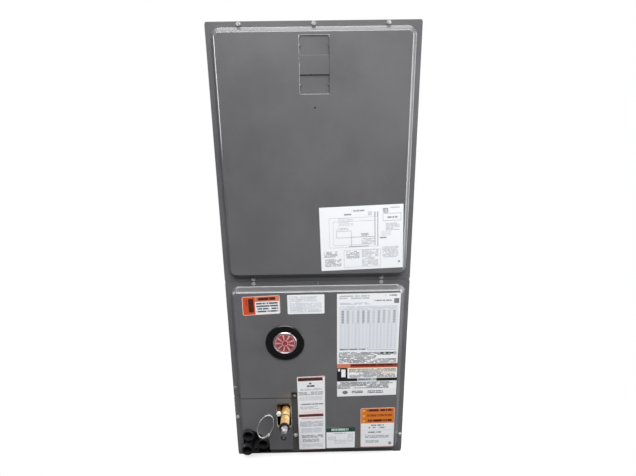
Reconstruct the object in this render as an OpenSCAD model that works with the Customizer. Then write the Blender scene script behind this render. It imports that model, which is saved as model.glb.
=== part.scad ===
// Upright air handler cabinet with an embossed front, a blower, a cooling coil and its drain pan.
// Origin at the centre of the base on the floor, +Z up, front towards -Y, sizes in millimetres.

/* [Cabinet] */
// Width of the cabinet, side to side
cab_w = 444.5; // [430:0.5:540]
// Height of the cabinet
cab_h = 1079.5; // [1065:0.5:1250]
// Depth of the cabinet from the front flanges to the back
cab_d = 549; // [535:1:620]
// Thickness of the sheet metal
sheet_t = 1.2; // [0.9:0.1:1.6]
// Width of the lips turned in at the cabinet's front edges
lip_w = 21; // [19:0.5:26]
// Radius of the cabinet's upright bends
bend_r = 3; // [2:0.5:5]
// Height of the turned edges of the top and bottom frames
frame_edge = 20; // [16:1:21]
// Width of the bottom frame round the return opening
base_land = 32; // [26:1:36]
// Width of the top frame beside and behind the supply opening
top_land = 36; // [26:1:45]
// Thickness of the foil-faced insulation
liner_t = 13; // [8:1:16]
// Clearance between pieces that lie beside each other
seat_gap = 0.3; // [0.1:0.05:0.4]

/* [Front panels] */
// Height of the seam between the two panels
seam_z = 509.4; // [500:0.1:520]
// Gap between the two panels at the seam
seam_gap = 1; // [0.6:0.1:2]
// Height of the lower panel's bottom edge above the floor
toe_gap = 5; // [3:0.5:8]
// Flat flange at the sides of each panel
side_land = 10.5; // [10:0.25:12]
// Flat flange at the top and at the seam
end_land = 12; // [11:0.25:14]
// Depth of the embossing
emboss_e = 16; // [12:0.5:20]
// Width of the sloping edge of the embossing
bevel_w = 11.5; // [9:0.5:14]
// Corner radius of the embossing at its foot
emboss_r = 20; // [18:0.5:24]
// Corner radius of the flat flanges
flange_r = 5.5; // [2:0.5:7]
// Thickness of the insulation board behind each panel
board_t = 12; // [8:0.5:13]

/* [Breaker knock-outs] */
// Width of each knock-out
ko_w = 61.5; // [50:0.5:70]
// Height of each knock-out
ko_h = 38; // [30:0.5:40]
// Distance from the cabinet's top to the upper knock-out
ko_top = 28.2; // [26:0.2:36]
// Width of the cut round each knock-out
ko_slit = 0.6; // [0.4:0.1:1.5]
// How far the upper and lower knock-outs are pushed in
ko_push = 2.4; // [1.2:0.1:3]

/* [Connection plate] */
// Width of the connection plate with its flange
plate_w = 165; // [160:0.5:180]
// Height of the plate's top edge above the floor
plate_top = 189.4; // [184:0.2:200]
// Width of the plate's right-hand flange
plate_land = 14; // [12:0.5:16]
// Distance of the suction line from the cabinet's left side
suction_in = 135.25; // [132:0.25:138]
// Height of the suction line above the floor
suction_z = 153.8; // [150:0.2:156]
// Outer diameter of the suction line
suction_d = 22.2; // [19:0.1:22.3]
// Wall of the suction line
suction_t = 1.1; // [0.8:0.1:1.4]
// Length of the suction stub in front of the flange plane
suction_e = 80; // [65:1:95]
// Outer diameter of the liquid line
liquid_d = 9.5; // [7.9:0.1:9.6]
// Length of the liquid stub in front of the flange plane
liquid_e = 40; // [36:1:60]
// Width of the line opening
slot_w = 38; // [37:0.5:42]
// Height of the line opening
slot_h = 74; // [66:0.5:80]

/* [Drain ports] */
// Outer diameter of the three large ports
port_d = 30; // [28:0.5:31]
// Bore of the three large ports
port_bore = 24; // [20:0.5:25]
// Outer diameter of the small port
small_d = 15; // [12:0.5:15.5]
// Bore of the small port
small_bore = 10; // [7:0.5:11]
// Length of the ports in front of the flange plane
port_e = 24; // [20:0.5:30]

/* [Blower] */
// Diameter of the blower wheel
wheel_d = 254; // [235:1:258]
// Width of the blower wheel
wheel_w = 203; // [180:1:210]
// Number of blades
blades = 38; // [30:1:44]
// Depth of each blade, outer to inner radius
blade_deep = 21; // [16:0.5:24]
// Thickness of each blade
blade_t = 1.2; // [1:0.1:1.6]
// Gap between the wheel and the cut-off of the scroll
cutoff_gap = 11; // [8:0.5:13]
// Widening of the scroll from the cut-off to the outlet
scroll_grow = 52; // [40:1:56]
// Gap between the wheel's ends and the side plates
side_run = 9; // [6:0.5:12]
// Radius of the inlets
inlet_r = 100; // [92:0.5:101]
// Height of the wheel's axis below the blower deck
axis_drop = 190; // [184:1:200]
// Distance of the wheel's axis in front of the cabinet's middle
axis_fore = 15; // [5:1:25]
// Diameter of the motor shaft
shaft_d = 12.7; // [11:0.1:14]
// Radial clearance of the shaft in the motor
shaft_fit = 0.06; // [0.03:0.01:0.1]
// Diameter of the motor
motor_d = 140; // [120:1:144]
// Length of the motor
motor_len = 105; // [80:1:110]
// Height of the control compartment, from the blower deck to the cabinet's top
control_space = 175.5; // [168:0.5:185]

/* [Coil and drain pan] */
// Height of the pan's underside above the floor
pan_z = 40; // [36:0.5:44]
// Height of the pan's walls
pan_h = 52; // [46:1:58]
// Thickness of the pan's plastic
pan_t = 3.2; // [2.5:0.1:4]
// Width of the pan's channel at each side
pan_channel = 98; // [92:1:100]
// Width of the pan's channel at front and back
pan_end = 56; // [52:1:60]
// Thickness of each finned slab
slab_t = 44; // [36:1:46]
// Length of the slabs, front to back
slab_len = 400; // [380:1:410]
// Space between the coil's apex and the blower housing
coil_gap = 79; // [70:1:105]
// Distance between fins
fin_pitch = 6; // [5:0.25:9]
// Thickness of each fin
fin_t = 1.6; // [1.2:0.1:2]
// Depth of the gaps between fins
fin_deep = 14; // [10:0.5:16]
// Distance between tubes along a slab
tube_pitch = 27; // [25:0.5:30]
// Outer diameter of the coil's tubes
tube_d = 9.5; // [7.9:0.1:9.6]

/* [Controls] */
// Depth of the control compartment behind the upper panel
control_deep = 95; // [90:1:105]
// Width of the heater opening's cover
cover_w = 150; // [120:1:160]
// Height of the heater opening's cover
cover_h = 112; // [90:1:118]

/* [Fasteners] */
// Shank diameter of the sheet-metal screws
screw_d = 4.2; // [3.5:0.1:4.8]
// Diameter of the washer under each screw's head
washer_d = 9.8; // [8.6:0.1:10]
// Height of a screw's head
head_h = 3.4; // [2.8:0.1:6]
// Distance of the seam and top screws from the middle
screw_x = 153.5; // [140:0.5:165]

/* [Badge] */
// Outer diameter of the badge ring
badge_d = 96; // [80:1:100]
// Diameter of the badge's middle disc
badge_in = 59; // [50:1:64]
// Height of the badge's centre above the floor
badge_z = 351.8; // [330:0.2:380]
// Distance of the badge's centre from the cabinet's left side
badge_in_x = 139.75; // [120:0.25:150]

/* [Hidden] */

// Planes that the pieces share
y_front = -cab_d / 2;
y_back = cab_d / 2;
y_lip = y_front + 2 * sheet_t;
x_side = cab_w / 2;
x_wall = x_side - sheet_t;
x_liner = x_wall - liner_t;
y_liner = y_back - sheet_t - liner_t;
rail_deep = 25;
rail_h = 38;
x_foot = x_side - side_land;
bend_in = bend_r - sheet_t;
y_liner_end = y_back - sheet_t - bend_r;

// Foot lines of the two embossed fields
upper_z0 = seam_z + seam_gap / 2 + end_land;
upper_z1 = cab_h - end_land + 1;
lower_z0 = toe_gap + end_land;
lower_z1 = seam_z - seam_gap / 2 - end_land;
top_screw_z = cab_h - washer_d / 2 - 0.6;
seam_screw_up = seam_z + seam_gap / 2 + washer_d / 2 + 0.6;
seam_screw_low = seam_z - seam_gap / 2 - washer_d / 2 - 0.6;
side_screw_x = x_side - washer_d / 2 - 0.4;
left_screw_z = 213;
right_screw_z = 57;
screw_len = 10;
hole_gap = 0.4;
hex_af = 7;
bevel_steps = 8;

// Connection plate, its screws and the lines through it
x_plate = -x_side + plate_w;
plate_gap = 1.4;
ear_top = plate_top + 16;
plate_face = x_plate - plate_land;
plate_corner = 12;
plate_screw_z = [61, plate_top - 1.4];
plate_left_z = 123;
plate_right_x = x_plate - plate_land / 2;
suction_x = -x_side + suction_in;
liquid_x = suction_x - suction_d / 2 - liquid_d / 2 - 0.9;
liquid_z = suction_z + 9;
slot_x = (suction_x + suction_d / 2 + liquid_x - liquid_d / 2) / 2;
slot_r = 9;
slot_z = suction_z - slot_h / 2 + 19.5;
gasket_t = 1.2;
gasket_lip = 0.9;

// Ports: distance from the cabinet's left side and height
port_a = [-x_side + 34, 80];
port_b = [-x_side + 72, 53];
port_c = [-x_side + 28.5, 33.5];
port_s = [-x_side + 52.5, 36];
block_y = y_lip + sheet_t + seat_gap;
port_len = block_y - y_front + port_e;
cut_margin = 1.2;
cut_r = port_d / 2 + cut_margin;

// Line route behind the plate
header_y = y_front + 34.5;
header_below = 40;
liquid_y = header_y - suction_d / 2 - liquid_d / 2 - 2.6;
elbow_r = 14;
dist_x = 0;
dist_z = liquid_z + 3 * elbow_r + 12;

// Blower
deck_z = cab_h - control_space;
axis_y = -axis_fore;
axis_z = deck_z - axis_drop;
wheel_r = wheel_d / 2;
blade_in = wheel_r - blade_deep;
scroll_r = wheel_r + cutoff_gap;
house_x = wheel_w / 2 + side_run;
cut_angle = 105;
scroll_turn = 360 - cut_angle;
outlet_y = scroll_r + scroll_grow;
cutoff_y = scroll_r * cos(cut_angle);
cutoff_z = scroll_r * sin(cut_angle);
disc_t = 2.4;
ring_t = 3;
ring_w = 9;
blade_grip = 0.15;
hub_r = 17;
hub_len = 26;
motor_x = 58;
arm_angles = [30, 150, 270];
side_rim = 4;
cap_at = [60, 128];
cap_strap_up = 14;
house_drop = scroll_r + scroll_grow * (1 - 90 / scroll_turn) + side_rim;

// Coil
pan_floor = pan_z + pan_t;
coil_h = axis_z - house_drop - coil_gap - pan_floor;
pan_x = x_liner - 1.5;
pan_y0 = y_front + 24.5;
pan_y1 = y_liner - 8;
throat_x = pan_x - pan_channel;
slab_foot = pan_x - 47.5;
slab_head = slab_t / 2 + 2.5;
lean = atan((slab_foot - slab_head) / coil_h);
slab_z = pan_floor + slab_t / 2 * sin(lean) + seat_gap;
slab_h = (coil_h - slab_t * sin(lean)) / cos(lean);
end_t = sheet_t;
coil_y = (pan_y0 + pan_y1) / 2;
end_y = slab_len / 2 + end_t;
tube_rows = [-slab_t / 4, slab_t / 4];
bend_count = floor((slab_h - 40) / (2 * tube_pitch));

// Suction header in front of the coil, its branches level with the slab that it feeds
branches = 4;
branch_step = 34;
branch_z = slab_z + (slab_foot + suction_x) / tan(lean);
header_z0 = suction_z - header_below;
header_z1 = branch_z + branches / 2 * branch_step;

// Control compartment
panel_y = y_front + control_deep;
deck_top = deck_z + sheet_t;
control_h = cab_h - frame_edge - deck_top;
grommet_z = deck_top + 82;
grommet_y = y_front + 46;
grommet_r = 11;
wire_r = 8;

// Colours
paint = "#6a6b6e";
zinc = "#b9bcc0";
galv = "#9ea3a6";
foil = "#c9ccce";
black = "#1c1c1e";
copper = "#c08a4a";

// A front-facing frame: x across, y up, z out of the front flange plane
module facing(e = 0) {
    translate([0, y_front - e, 0]) rotate([90, 0, 0]) children();
}

// A frame for round pieces that lie along X: local z runs along +X
module along_x(x = 0) {
    translate([x, 0, 0]) rotate([90, 0, 90]) children();
}

module rounded_rect(x0, x1, y0, y1, r) {
    translate([x0 + r, y0]) square([x1 - x0 - 2 * r, y1 - y0]);
    translate([x0, y0 + r]) square([x1 - x0, y1 - y0 - 2 * r]);
    for (x = [x0 + r, x1 - r], y = [y0 + r, y1 - r]) translate([x, y]) circle(r, $fn = 32);
}

// Height of the pressed edge at a share of its width: flat at foot and top, steep between
function press(t) = t * t * (3 - 2 * t);

// Points of the pressed edge, closest together where it bends most
function bevel(inset, top) = [
    for (i = [0 : bevel_steps]) let (t = (1 - cos(180 * i / bevel_steps)) / 2) [inset + bevel_w * t, top * press(t)]
];

// Solid under a pressed field with rounded corners, standing on the flange plane
module pressed(x0, x1, z0, z1, inset, top, base) {
    rise = bevel(inset, top);
    back = [for (i = [bevel_steps : -1 : 0]) rise[i]];
    translate([x0 + emboss_r, 0, 0]) rotate([90, 0, 90])
        linear_extrude(x1 - x0 - 2 * emboss_r)
            polygon(concat([[z0 + inset, -base]], [for (p = rise) [z0 + p.x, p.y]],
                [for (p = back) [z1 - p.x, p.y]], [[z1 - inset, -base]]));
    translate([0, z1 - emboss_r, 0]) rotate([90, 0, 0])
        linear_extrude(z1 - z0 - 2 * emboss_r)
            polygon(concat([[x0 + inset, -base]], [for (p = rise) [x0 + p.x, p.y]],
                [for (p = back) [x1 - p.x, p.y]], [[x1 - inset, -base]]));
    corners = [[x1 - emboss_r, z1 - emboss_r], [x0 + emboss_r, z1 - emboss_r],
        [x0 + emboss_r, z0 + emboss_r], [x1 - emboss_r, z0 + emboss_r]];
    for (i = [0 : 3])
        translate([corners[i].x, corners[i].y, 0]) rotate(90 * i)
            rotate_extrude(angle = 90, $fn = 64)
                polygon(concat([[0, -base], [emboss_r - inset, -base]],
                    [for (p = rise) [emboss_r - p.x, p.y]], [[0, top]]));
}

// Hex washer-head sheet-metal screw on the flange plane, shank pointing inwards
module hex_screw(x, z) {
    translate([x, z, 0]) {
        cylinder(h = 1, d = washer_d, $fn = 48);
        cylinder(h = head_h, d = hex_af / cos(30), $fn = 6);
        translate([0, 0, -screw_len]) cylinder(h = screw_len + 0.5, d = screw_d, $fn = 32);
    }
}

module screw_hole(x, z, d) {
    translate([x, z, -30]) cylinder(h = 31, d = d, $fn = 32);
}

upper_screws = [[-screw_x, top_screw_z], [0, top_screw_z], [screw_x, top_screw_z],
    [-screw_x, seam_screw_up], [screw_x, seam_screw_up]];
lower_screws = [[-screw_x, seam_screw_low], [screw_x, seam_screw_low],
    [-side_screw_x, left_screw_z], [side_screw_x, right_screw_z]];
plate_screw_at = [[-side_screw_x, plate_left_z], [plate_right_x, plate_screw_z[0]],
    [plate_right_x, plate_screw_z[1]]];

// Clearance holes in what lies behind the panels
module front_holes() {
    facing() {
        for (p = concat(upper_screws, lower_screws, plate_screw_at))
            screw_hole(p.x, p.y, screw_d + 2 * hole_gap);
    }
}

module cabinet_wrap() {
    color(paint) difference() {
        linear_extrude(cab_h) difference() {
            rounded_rect(-x_side, x_side, y_front + sheet_t, y_back, bend_r);
            rounded_rect(-x_wall, x_wall, y_lip, y_back - sheet_t, bend_in);
            translate([-x_side + lip_w, y_front]) square([cab_w - 2 * lip_w, 3 * sheet_t]);
        }
        front_holes();
        port_clear();
        translate([-x_side - 1, grommet_y, grommet_z]) rotate([0, 90, 0]) cylinder(h = 4, r = grommet_r, $fn = 64);
        for (s = [-1, 1], r = [11.2, 14.4])
            translate([s * x_side, grommet_y, grommet_z + 50]) rotate([0, 90, 0])
                difference() {
                    cylinder(h = sheet_t, r = r + 0.4, center = true, $fn = 64);
                    cylinder(h = 2 * sheet_t, r = r - 0.4, center = true, $fn = 64);
                }
    }
}

// A frame of sheet with its edges turned towards the middle of the cabinet
module edge_frame(open_x, open_y0, open_y1) {
    y0 = y_lip;
    y1 = y_back - sheet_t;
    difference() {
        linear_extrude(frame_edge) rounded_rect(-x_wall, x_wall, y0, y1, bend_in);
        translate([-x_wall + sheet_t, y0 + sheet_t, sheet_t])
            cube([2 * (x_wall - sheet_t), y1 - y0 - 2 * sheet_t, frame_edge]);
        translate([-open_x, open_y0, -1]) cube([2 * open_x, open_y1 - open_y0, 4]);
    }
}

module top_frame() {
    color(paint) difference() {
        translate([0, 0, cab_h]) mirror([0, 0, 1])
            edge_frame(x_wall - top_land, panel_y + 12, y_back - sheet_t - top_land);
        front_holes();
    }
}

module bottom_frame() {
    color(galv) difference() {
        edge_frame(x_wall - base_land, y_lip + base_land, y_back - sheet_t - base_land);
        front_holes();
        port_clear();
    }
}

// Rail across the front behind the seam, its web level with the cabinet's lips
module centre_rail() {
    web_x = x_side - lip_w - seat_gap;
    z0 = seam_z - rail_h / 2;
    z1 = seam_z + rail_h / 2;
    color(galv) difference() {
        union() {
            translate([-web_x, y_front + sheet_t, z0]) cube([2 * web_x, sheet_t, z1 - z0]);
            for (z = [z0, z1 - sheet_t])
                translate([-web_x, y_front + sheet_t, z]) cube([2 * web_x, rail_deep, sheet_t]);
            for (z = [z0, z1 - sheet_t]) {
                translate([bend_in - x_wall, y_lip, z])
                    cube([2 * (x_wall - bend_in), rail_deep - sheet_t, sheet_t]);
                translate([-x_wall, y_lip + bend_in, z])
                    cube([2 * x_wall, rail_deep - sheet_t - bend_in, sheet_t]);
            }
            for (s = [-1, 1])
                translate([s > 0 ? x_wall - sheet_t : -x_wall, y_lip + bend_in, z0])
                    cube([sheet_t, rail_deep - sheet_t - bend_in, z1 - z0]);
        }
        front_holes();
    }
}

module side_liners() {
    y0 = y_lip + rail_deep + 2;
    color(foil) for (s = [-1, 1]) {
        x0 = s > 0 ? x_liner : -x_wall;
        translate([x0, y0, frame_edge]) cube([liner_t, y_liner_end - y0, deck_z - frame_edge]);
        translate([x0, panel_y + sheet_t, deck_top])
            cube([liner_t, y_liner_end - panel_y - sheet_t, control_h]);
    }
}

module back_liner() {
    color(foil) {
        translate([-x_liner, y_liner, frame_edge]) cube([2 * x_liner, liner_t, deck_z - frame_edge]);
        translate([-x_liner, y_liner, deck_top]) cube([2 * x_liner, liner_t, control_h]);
    }
}

module blower_deck() {
    color(galv) difference() {
        translate([0, 0, deck_z]) linear_extrude(sheet_t)
            rounded_rect(-x_wall, x_wall, y_lip, y_back - sheet_t, bend_in);
        translate([-house_x + 1, axis_y + cutoff_y + 1, deck_z - 1])
            cube([2 * house_x - 2, outlet_y - cutoff_y - 2, 4]);
    }
}

// Upper panel with three knock-outs held by small tabs, two of them pushed in
module upper_panel() {
    z0 = seam_z + seam_gap / 2;
    cells = [for (i = [0 : 2]) cab_h - ko_top - (i + 1) * ko_h];
    color(paint) facing() {
        difference() {
            union() {
                translate([0, 0, -sheet_t]) linear_extrude(sheet_t)
                    rounded_rect(-x_side, x_side, z0, cab_h, flange_r);
                pressed(-x_foot, x_foot, upper_z0, upper_z1, 0, emboss_e, sheet_t / 2);
            }
            pressed(-x_foot, x_foot, upper_z0, upper_z1, sheet_t, emboss_e - sheet_t, sheet_t + 1);
            for (p = upper_screws) screw_hole(p.x, p.y, screw_d + hole_gap);
            translate([-ko_w / 2, cells[2], 0]) cube([ko_w, 3 * ko_h, emboss_e + 1]);
            translate([0, cells[2] - ko_h + 10, 0]) cylinder(h = emboss_e + 1, d = 3.4, $fn = 32);
        }
        for (i = [0 : 2]) {
            push = i == 1 ? 0 : ko_push;
            translate([-ko_w / 2 + ko_slit, cells[i] + ko_slit / 2, emboss_e - sheet_t - push])
                cube([ko_w - 2 * ko_slit, ko_h - ko_slit, sheet_t]);
            for (s = [-1, 1])
                translate([s * (ko_w / 2 - 1) - 2, cells[i] + ko_h / 2 - 2, emboss_e - sheet_t - push])
                    cube([4, 4, sheet_t + push - 0.4]);
        }
    }
}

module upper_panel_board() {
    inset = bevel_w + 3;
    color(foil) facing() difference() {
        translate([-x_foot + inset, upper_z0 + inset, emboss_e - sheet_t - board_t])
            cube([2 * (x_foot - inset), upper_z1 - upper_z0 - 2 * inset, board_t]);
        translate([-ko_w / 2 - 8, cab_h - ko_top - 3 * ko_h - 8, 0]) cube([ko_w + 16, 3 * ko_h + 40, emboss_e]);
        translate([0, cab_h - ko_top - 4 * ko_h + 10, 0]) cylinder(h = emboss_e, d = 12, $fn = 32);
    }
}

module upper_panel_screws() {
    color(zinc) facing() for (p = upper_screws) hex_screw(p.x, p.y);
}

// The lower field runs across the whole front, and the plate takes its lower left corner
module lower_field(inset, top, base) {
    pressed(-x_foot, x_foot, lower_z0, lower_z1, inset, top, base);
}

// The lower panel's corner opening: room for the plate, and a bay above the ear of its flange
module notch_outline(grow) {
    far = 400;
    x1 = x_plate + plate_gap + grow;
    translate([-far, -far]) square([far + x1, far + plate_top + plate_gap + grow]);
    translate([plate_face - grow, 0]) square([x1 - plate_face + grow, ear_top + plate_gap + grow]);
}

module lower_panel() {
    far = 400;
    color(paint) facing() difference() {
        union() {
            difference() {
                union() {
                    translate([0, 0, -sheet_t]) linear_extrude(sheet_t)
                        rounded_rect(-x_side, x_side, toe_gap, seam_z - seam_gap / 2, flange_r);
                    lower_field(0, emboss_e, sheet_t / 2);
                }
                lower_field(sheet_t, emboss_e - sheet_t, sheet_t + 1);
            }
            intersection() {
                lower_field(0, emboss_e, sheet_t);
                translate([0, 0, -sheet_t]) linear_extrude(far) notch_outline(sheet_t);
            }
        }
        translate([0, 0, -far]) linear_extrude(2 * far) notch_outline(0);
        translate([0, lower_z1 + 2, -sheet_t - 1]) cube([2.4, end_land - 5, sheet_t + 2]);
        for (p = lower_screws) screw_hole(p.x, p.y, screw_d + hole_gap);
    }
}

module lower_panel_board() {
    inset = bevel_w + 3;
    color(foil) facing() difference() {
        translate([-x_foot + inset, lower_z0 + inset, emboss_e - sheet_t - board_t])
            cube([2 * (x_foot - inset), lower_z1 - lower_z0 - 2 * inset, board_t]);
        linear_extrude(emboss_e) notch_outline(sheet_t + plate_gap);
    }
}

module lower_panel_screws() {
    color(zinc) facing() for (p = lower_screws) hex_screw(p.x, p.y);
}

// Round badge without a mark: a dished black ring and a domed disc with a raised rim
module badge_ring() {
    r = badge_d / 2;
    ri = badge_in / 2 + 0.4;
    color(black) facing(emboss_e) translate([-x_side + badge_in_x, badge_z, 0]) rotate_extrude($fn = 96)
        polygon([[ri, 0], [r, 0], [r, 1.8], [r - 1.6, 3.4], [r - 5, 3.8], [r - 9, 2.6], [ri + 3, 2.4], [ri, 3.2]]);
}

module badge_disc() {
    r = badge_in / 2;
    color("#8e3b40") facing(emboss_e) translate([-x_side + badge_in_x, badge_z, 0]) rotate_extrude($fn = 96)
        polygon([[0, 0], [r, 0], [r, 3.6], [r - 0.8, 4.4], [r - 2.4, 4.4], [r - 3, 3.2], [r * 0.6, 4],
            [r * 0.3, 4.3], [0, 4.4]]);
}

// Outline of the plate's embossed part, its top right corner rounded
module plate_outline(shrink) {
    x1 = plate_face - shrink;
    z1 = plate_top - shrink;
    difference() {
        translate([-x_side - 5, -5]) square([x1 + x_side + 5, z1 + 5]);
        translate([x1 - plate_corner, z1 - plate_corner]) square(plate_corner + 1);
    }
    translate([x1 - plate_corner, z1 - plate_corner]) circle(plate_corner, $fn = 64);
}

// Cut-out round the drain ports, open at the bottom edge
module port_cutout() {
    d = port_b - port_a;
    n = [-d.y, d.x] / norm(d) * cut_r;
    for (p = [port_a, port_b, port_c]) translate(p) circle(cut_r, $fn = 64);
    polygon([port_a, port_a + n, port_b + n, port_b]);
    polygon([port_a - [cut_r, 0], port_a, port_b, port_b + [cut_r, 0], [port_b.x + cut_r, sheet_t + 1],
        [port_a.x - cut_r, sheet_t + 1]]);
}

// Room for the ports in what lies behind the connection plate
module port_clear() {
    facing() translate([0, 0, -4 * sheet_t]) linear_extrude(4 * sheet_t) port_cutout();
}

module line_slot(grow) {
    w = slot_w / 2 + grow;
    h = slot_h / 2 + grow;
    rounded_rect(slot_x - w, slot_x + w, slot_z - h, slot_z + h, slot_r + grow);
}

module connection_plate() {
    far = 60;
    color(paint) facing() difference() {
        union() {
            translate([0, 0, -sheet_t]) linear_extrude(sheet_t)
                rounded_rect(-x_side, x_plate, toe_gap, plate_top, flange_r);
            translate([0, 0, -sheet_t]) linear_extrude(sheet_t)
                rounded_rect(plate_face + plate_gap, x_plate, plate_top - plate_land, ear_top, 3);
            intersection() {
                lower_field(0, emboss_e, sheet_t / 2);
                translate([0, 0, -sheet_t]) linear_extrude(far) plate_outline(0);
            }
        }
        intersection() {
            lower_field(sheet_t, emboss_e - sheet_t, sheet_t + 1);
            translate([0, 0, -2 * sheet_t]) linear_extrude(far) plate_outline(sheet_t);
        }
        translate([0, 0, -far / 2]) linear_extrude(far) {
            port_cutout();
            line_slot(0);
        }
        for (p = plate_screw_at) screw_hole(p.x, p.y, screw_d + hole_gap);
    }
}

// Bracket behind the plate's flange: an upright at its right and an arm below its top edge
module plate_frame() {
    arm = 12;
    fold = 8;
    z1 = plate_top + 6;
    x0 = -x_side + lip_w + seat_gap;
    x1 = x_plate + 4;
    xf = plate_face - 1;
    color(galv) difference() {
        union() {
            translate([xf, y_front + sheet_t, frame_edge + 1]) cube([x1 - xf, sheet_t, z1 - frame_edge - 1]);
            translate([x0, y_front + sheet_t, z1 - arm]) cube([x1 - x0, sheet_t, arm]);
            translate([xf, y_front + sheet_t, sheet_t]) cube([sheet_t, fold, z1 - sheet_t]);
            translate([x0, y_front + sheet_t, z1 - sheet_t]) cube([x1 - x0, fold, sheet_t]);
        }
        translate([-x_wall, y_lip - 1, 0]) cube([2 * x_wall, sheet_t + 1, frame_edge]);
        front_holes();
    }
}

module plate_screws() {
    color(zinc) facing() for (p = plate_screw_at) hex_screw(p.x, p.y);
}

// Grommet strip round the edge of the line opening
module line_gasket() {
    color("#d8d2c0") facing(emboss_e) difference() {
        translate([0, 0, seat_gap / 3]) linear_extrude(1.8) difference() {
            line_slot(gasket_lip);
            line_slot(-gasket_t);
        }
        translate([0, 0, -1]) linear_extrude(1) line_slot(3);
    }
    color("#d8d2c0") facing(emboss_e) translate([0, 0, -4]) linear_extrude(4 + seat_gap) difference() {
        line_slot(-0.1);
        line_slot(-gasket_t);
    }
}

// Suction header with its branches, and the stub that comes out through the plate
module suction_line() {
    r = suction_d / 2;
    plate_y = coil_y - end_y;
    color(copper) {
        difference() {
            union() {
                translate([suction_x, header_y, header_z0]) cylinder(h = header_z1 - header_z0, r = r, $fn = 64);
                for (z = [header_z0, header_z1]) translate([suction_x, header_y, z]) sphere(r, $fn = 64);
                for (i = [0 : branches - 1])
                    translate([suction_x, plate_y, branch_z + (i - (branches - 1) / 2) * branch_step])
                        rotate([90, 0, 0]) cylinder(h = plate_y - header_y, d = tube_d, $fn = 32);
                facing() translate([suction_x, suction_z, y_front - header_y]) rotate_extrude($fn = 96)
                    polygon([[0, 0], [r, 0], [r, header_y - y_front + 38], [r - 0.9, header_y - y_front + 39],
                        [r - 0.9, header_y - y_front + 40], [r, header_y - y_front + 41],
                        [r, header_y - y_front + suction_e], [0, header_y - y_front + suction_e]]);
            }
            facing() translate([suction_x, suction_z, y_front - header_y])
                cylinder(h = header_y - y_front + suction_e + 1, r = r - suction_t, $fn = 96);
        }
    }
}

// A quarter bend of tube from +Y towards +X, the tube's axis starting at the origin
module elbow(r, bend) {
    translate([bend, 0, 0]) rotate(90) rotate_extrude(angle = 90, $fn = 64) translate([bend, 0]) circle(r, $fn = 48);
}

// Liquid line: stub, riser beside the suction line, run above it and riser to the distributor
module liquid_line() {
    r = liquid_d / 2;
    cross_z = liquid_z + 2 * elbow_r + 4;
    color(copper) {
        translate([liquid_x, liquid_y - elbow_r, liquid_z]) rotate([90, 0, 0])
            cylinder(h = liquid_y - elbow_r - y_front + liquid_e, r = r, $fn = 48);
        translate([liquid_x, liquid_y - elbow_r, liquid_z]) rotate([0, -90, 0]) elbow(r, elbow_r);
        translate([liquid_x, liquid_y, liquid_z + elbow_r])
            cylinder(h = cross_z - liquid_z - 2 * elbow_r, r = r, $fn = 48);
        translate([liquid_x, liquid_y, cross_z - elbow_r]) rotate([90, 0, 0]) elbow(r, elbow_r);
        translate([liquid_x + elbow_r, liquid_y, cross_z]) rotate([0, 90, 0])
            cylinder(h = dist_x - liquid_x - 2 * elbow_r, r = r, $fn = 48);
        translate([dist_x - elbow_r, liquid_y, cross_z]) rotate([0, -90, -90]) elbow(r, elbow_r);
        translate([dist_x, liquid_y, cross_z + elbow_r]) cylinder(h = dist_z - cross_z - elbow_r, r = r, $fn = 48);
    }
}

module liquid_cap() {
    r = liquid_d / 2;
    color("#d9d9d6") facing(liquid_e) translate([liquid_x, liquid_z, 0]) rotate_extrude($fn = 48)
        polygon([[0, 0], [r + 1.1, 0], [r + 1.1, 4.4], [r + 0.1, 5.6], [0, 5.6]]);
}

// Rubber shipping plug: a flange on the tube's mouth and a plug inside it
module suction_plug() {
    r = suction_d / 2;
    color(black) facing(suction_e) translate([suction_x, suction_z, 0]) rotate_extrude($fn = 64)
        polygon([[0, -14], [r - suction_t - 0.8, -14], [r - suction_t - seat_gap, -12],
            [r - suction_t - seat_gap, 0], [r + 1.4, 0], [r + 1.8, 1.6], [r + 1.4, 4], [r - 1, 5], [0, 5]]);
}

// Access valve on the plug: a tapering stem, a hexagon and a thin neck
module access_valve() {
    color(zinc) facing(suction_e + 5) translate([suction_x, suction_z, 0]) {
        rotate_extrude($fn = 64) polygon([[0, 0], [8.6, 0], [8.4, 4], [7, 10], [5.2, 14], [5.2, 20], [3, 21],
            [3, 33], [0, 33]]);
        translate([0, 0, 14]) cylinder(h = 5, d = 12.6, $fn = 6);
    }
}

module valve_cap() {
    color(black) facing(suction_e + 5) translate([suction_x, suction_z, 26]) difference() {
        rotate_extrude($fn = 48)
            polygon([[3 + seat_gap, 0], [6.4, 0], [7, 1], [7, 7], [6.2, 8], [4.4, 8], [4.2, 7.2], [3 + seat_gap, 7.2]]);
        for (a = [0 : 30 : 330]) rotate(a) translate([7.3, 0, -1]) cylinder(h = 10, r = 0.7, $fn = 16);
    }
}

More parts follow.
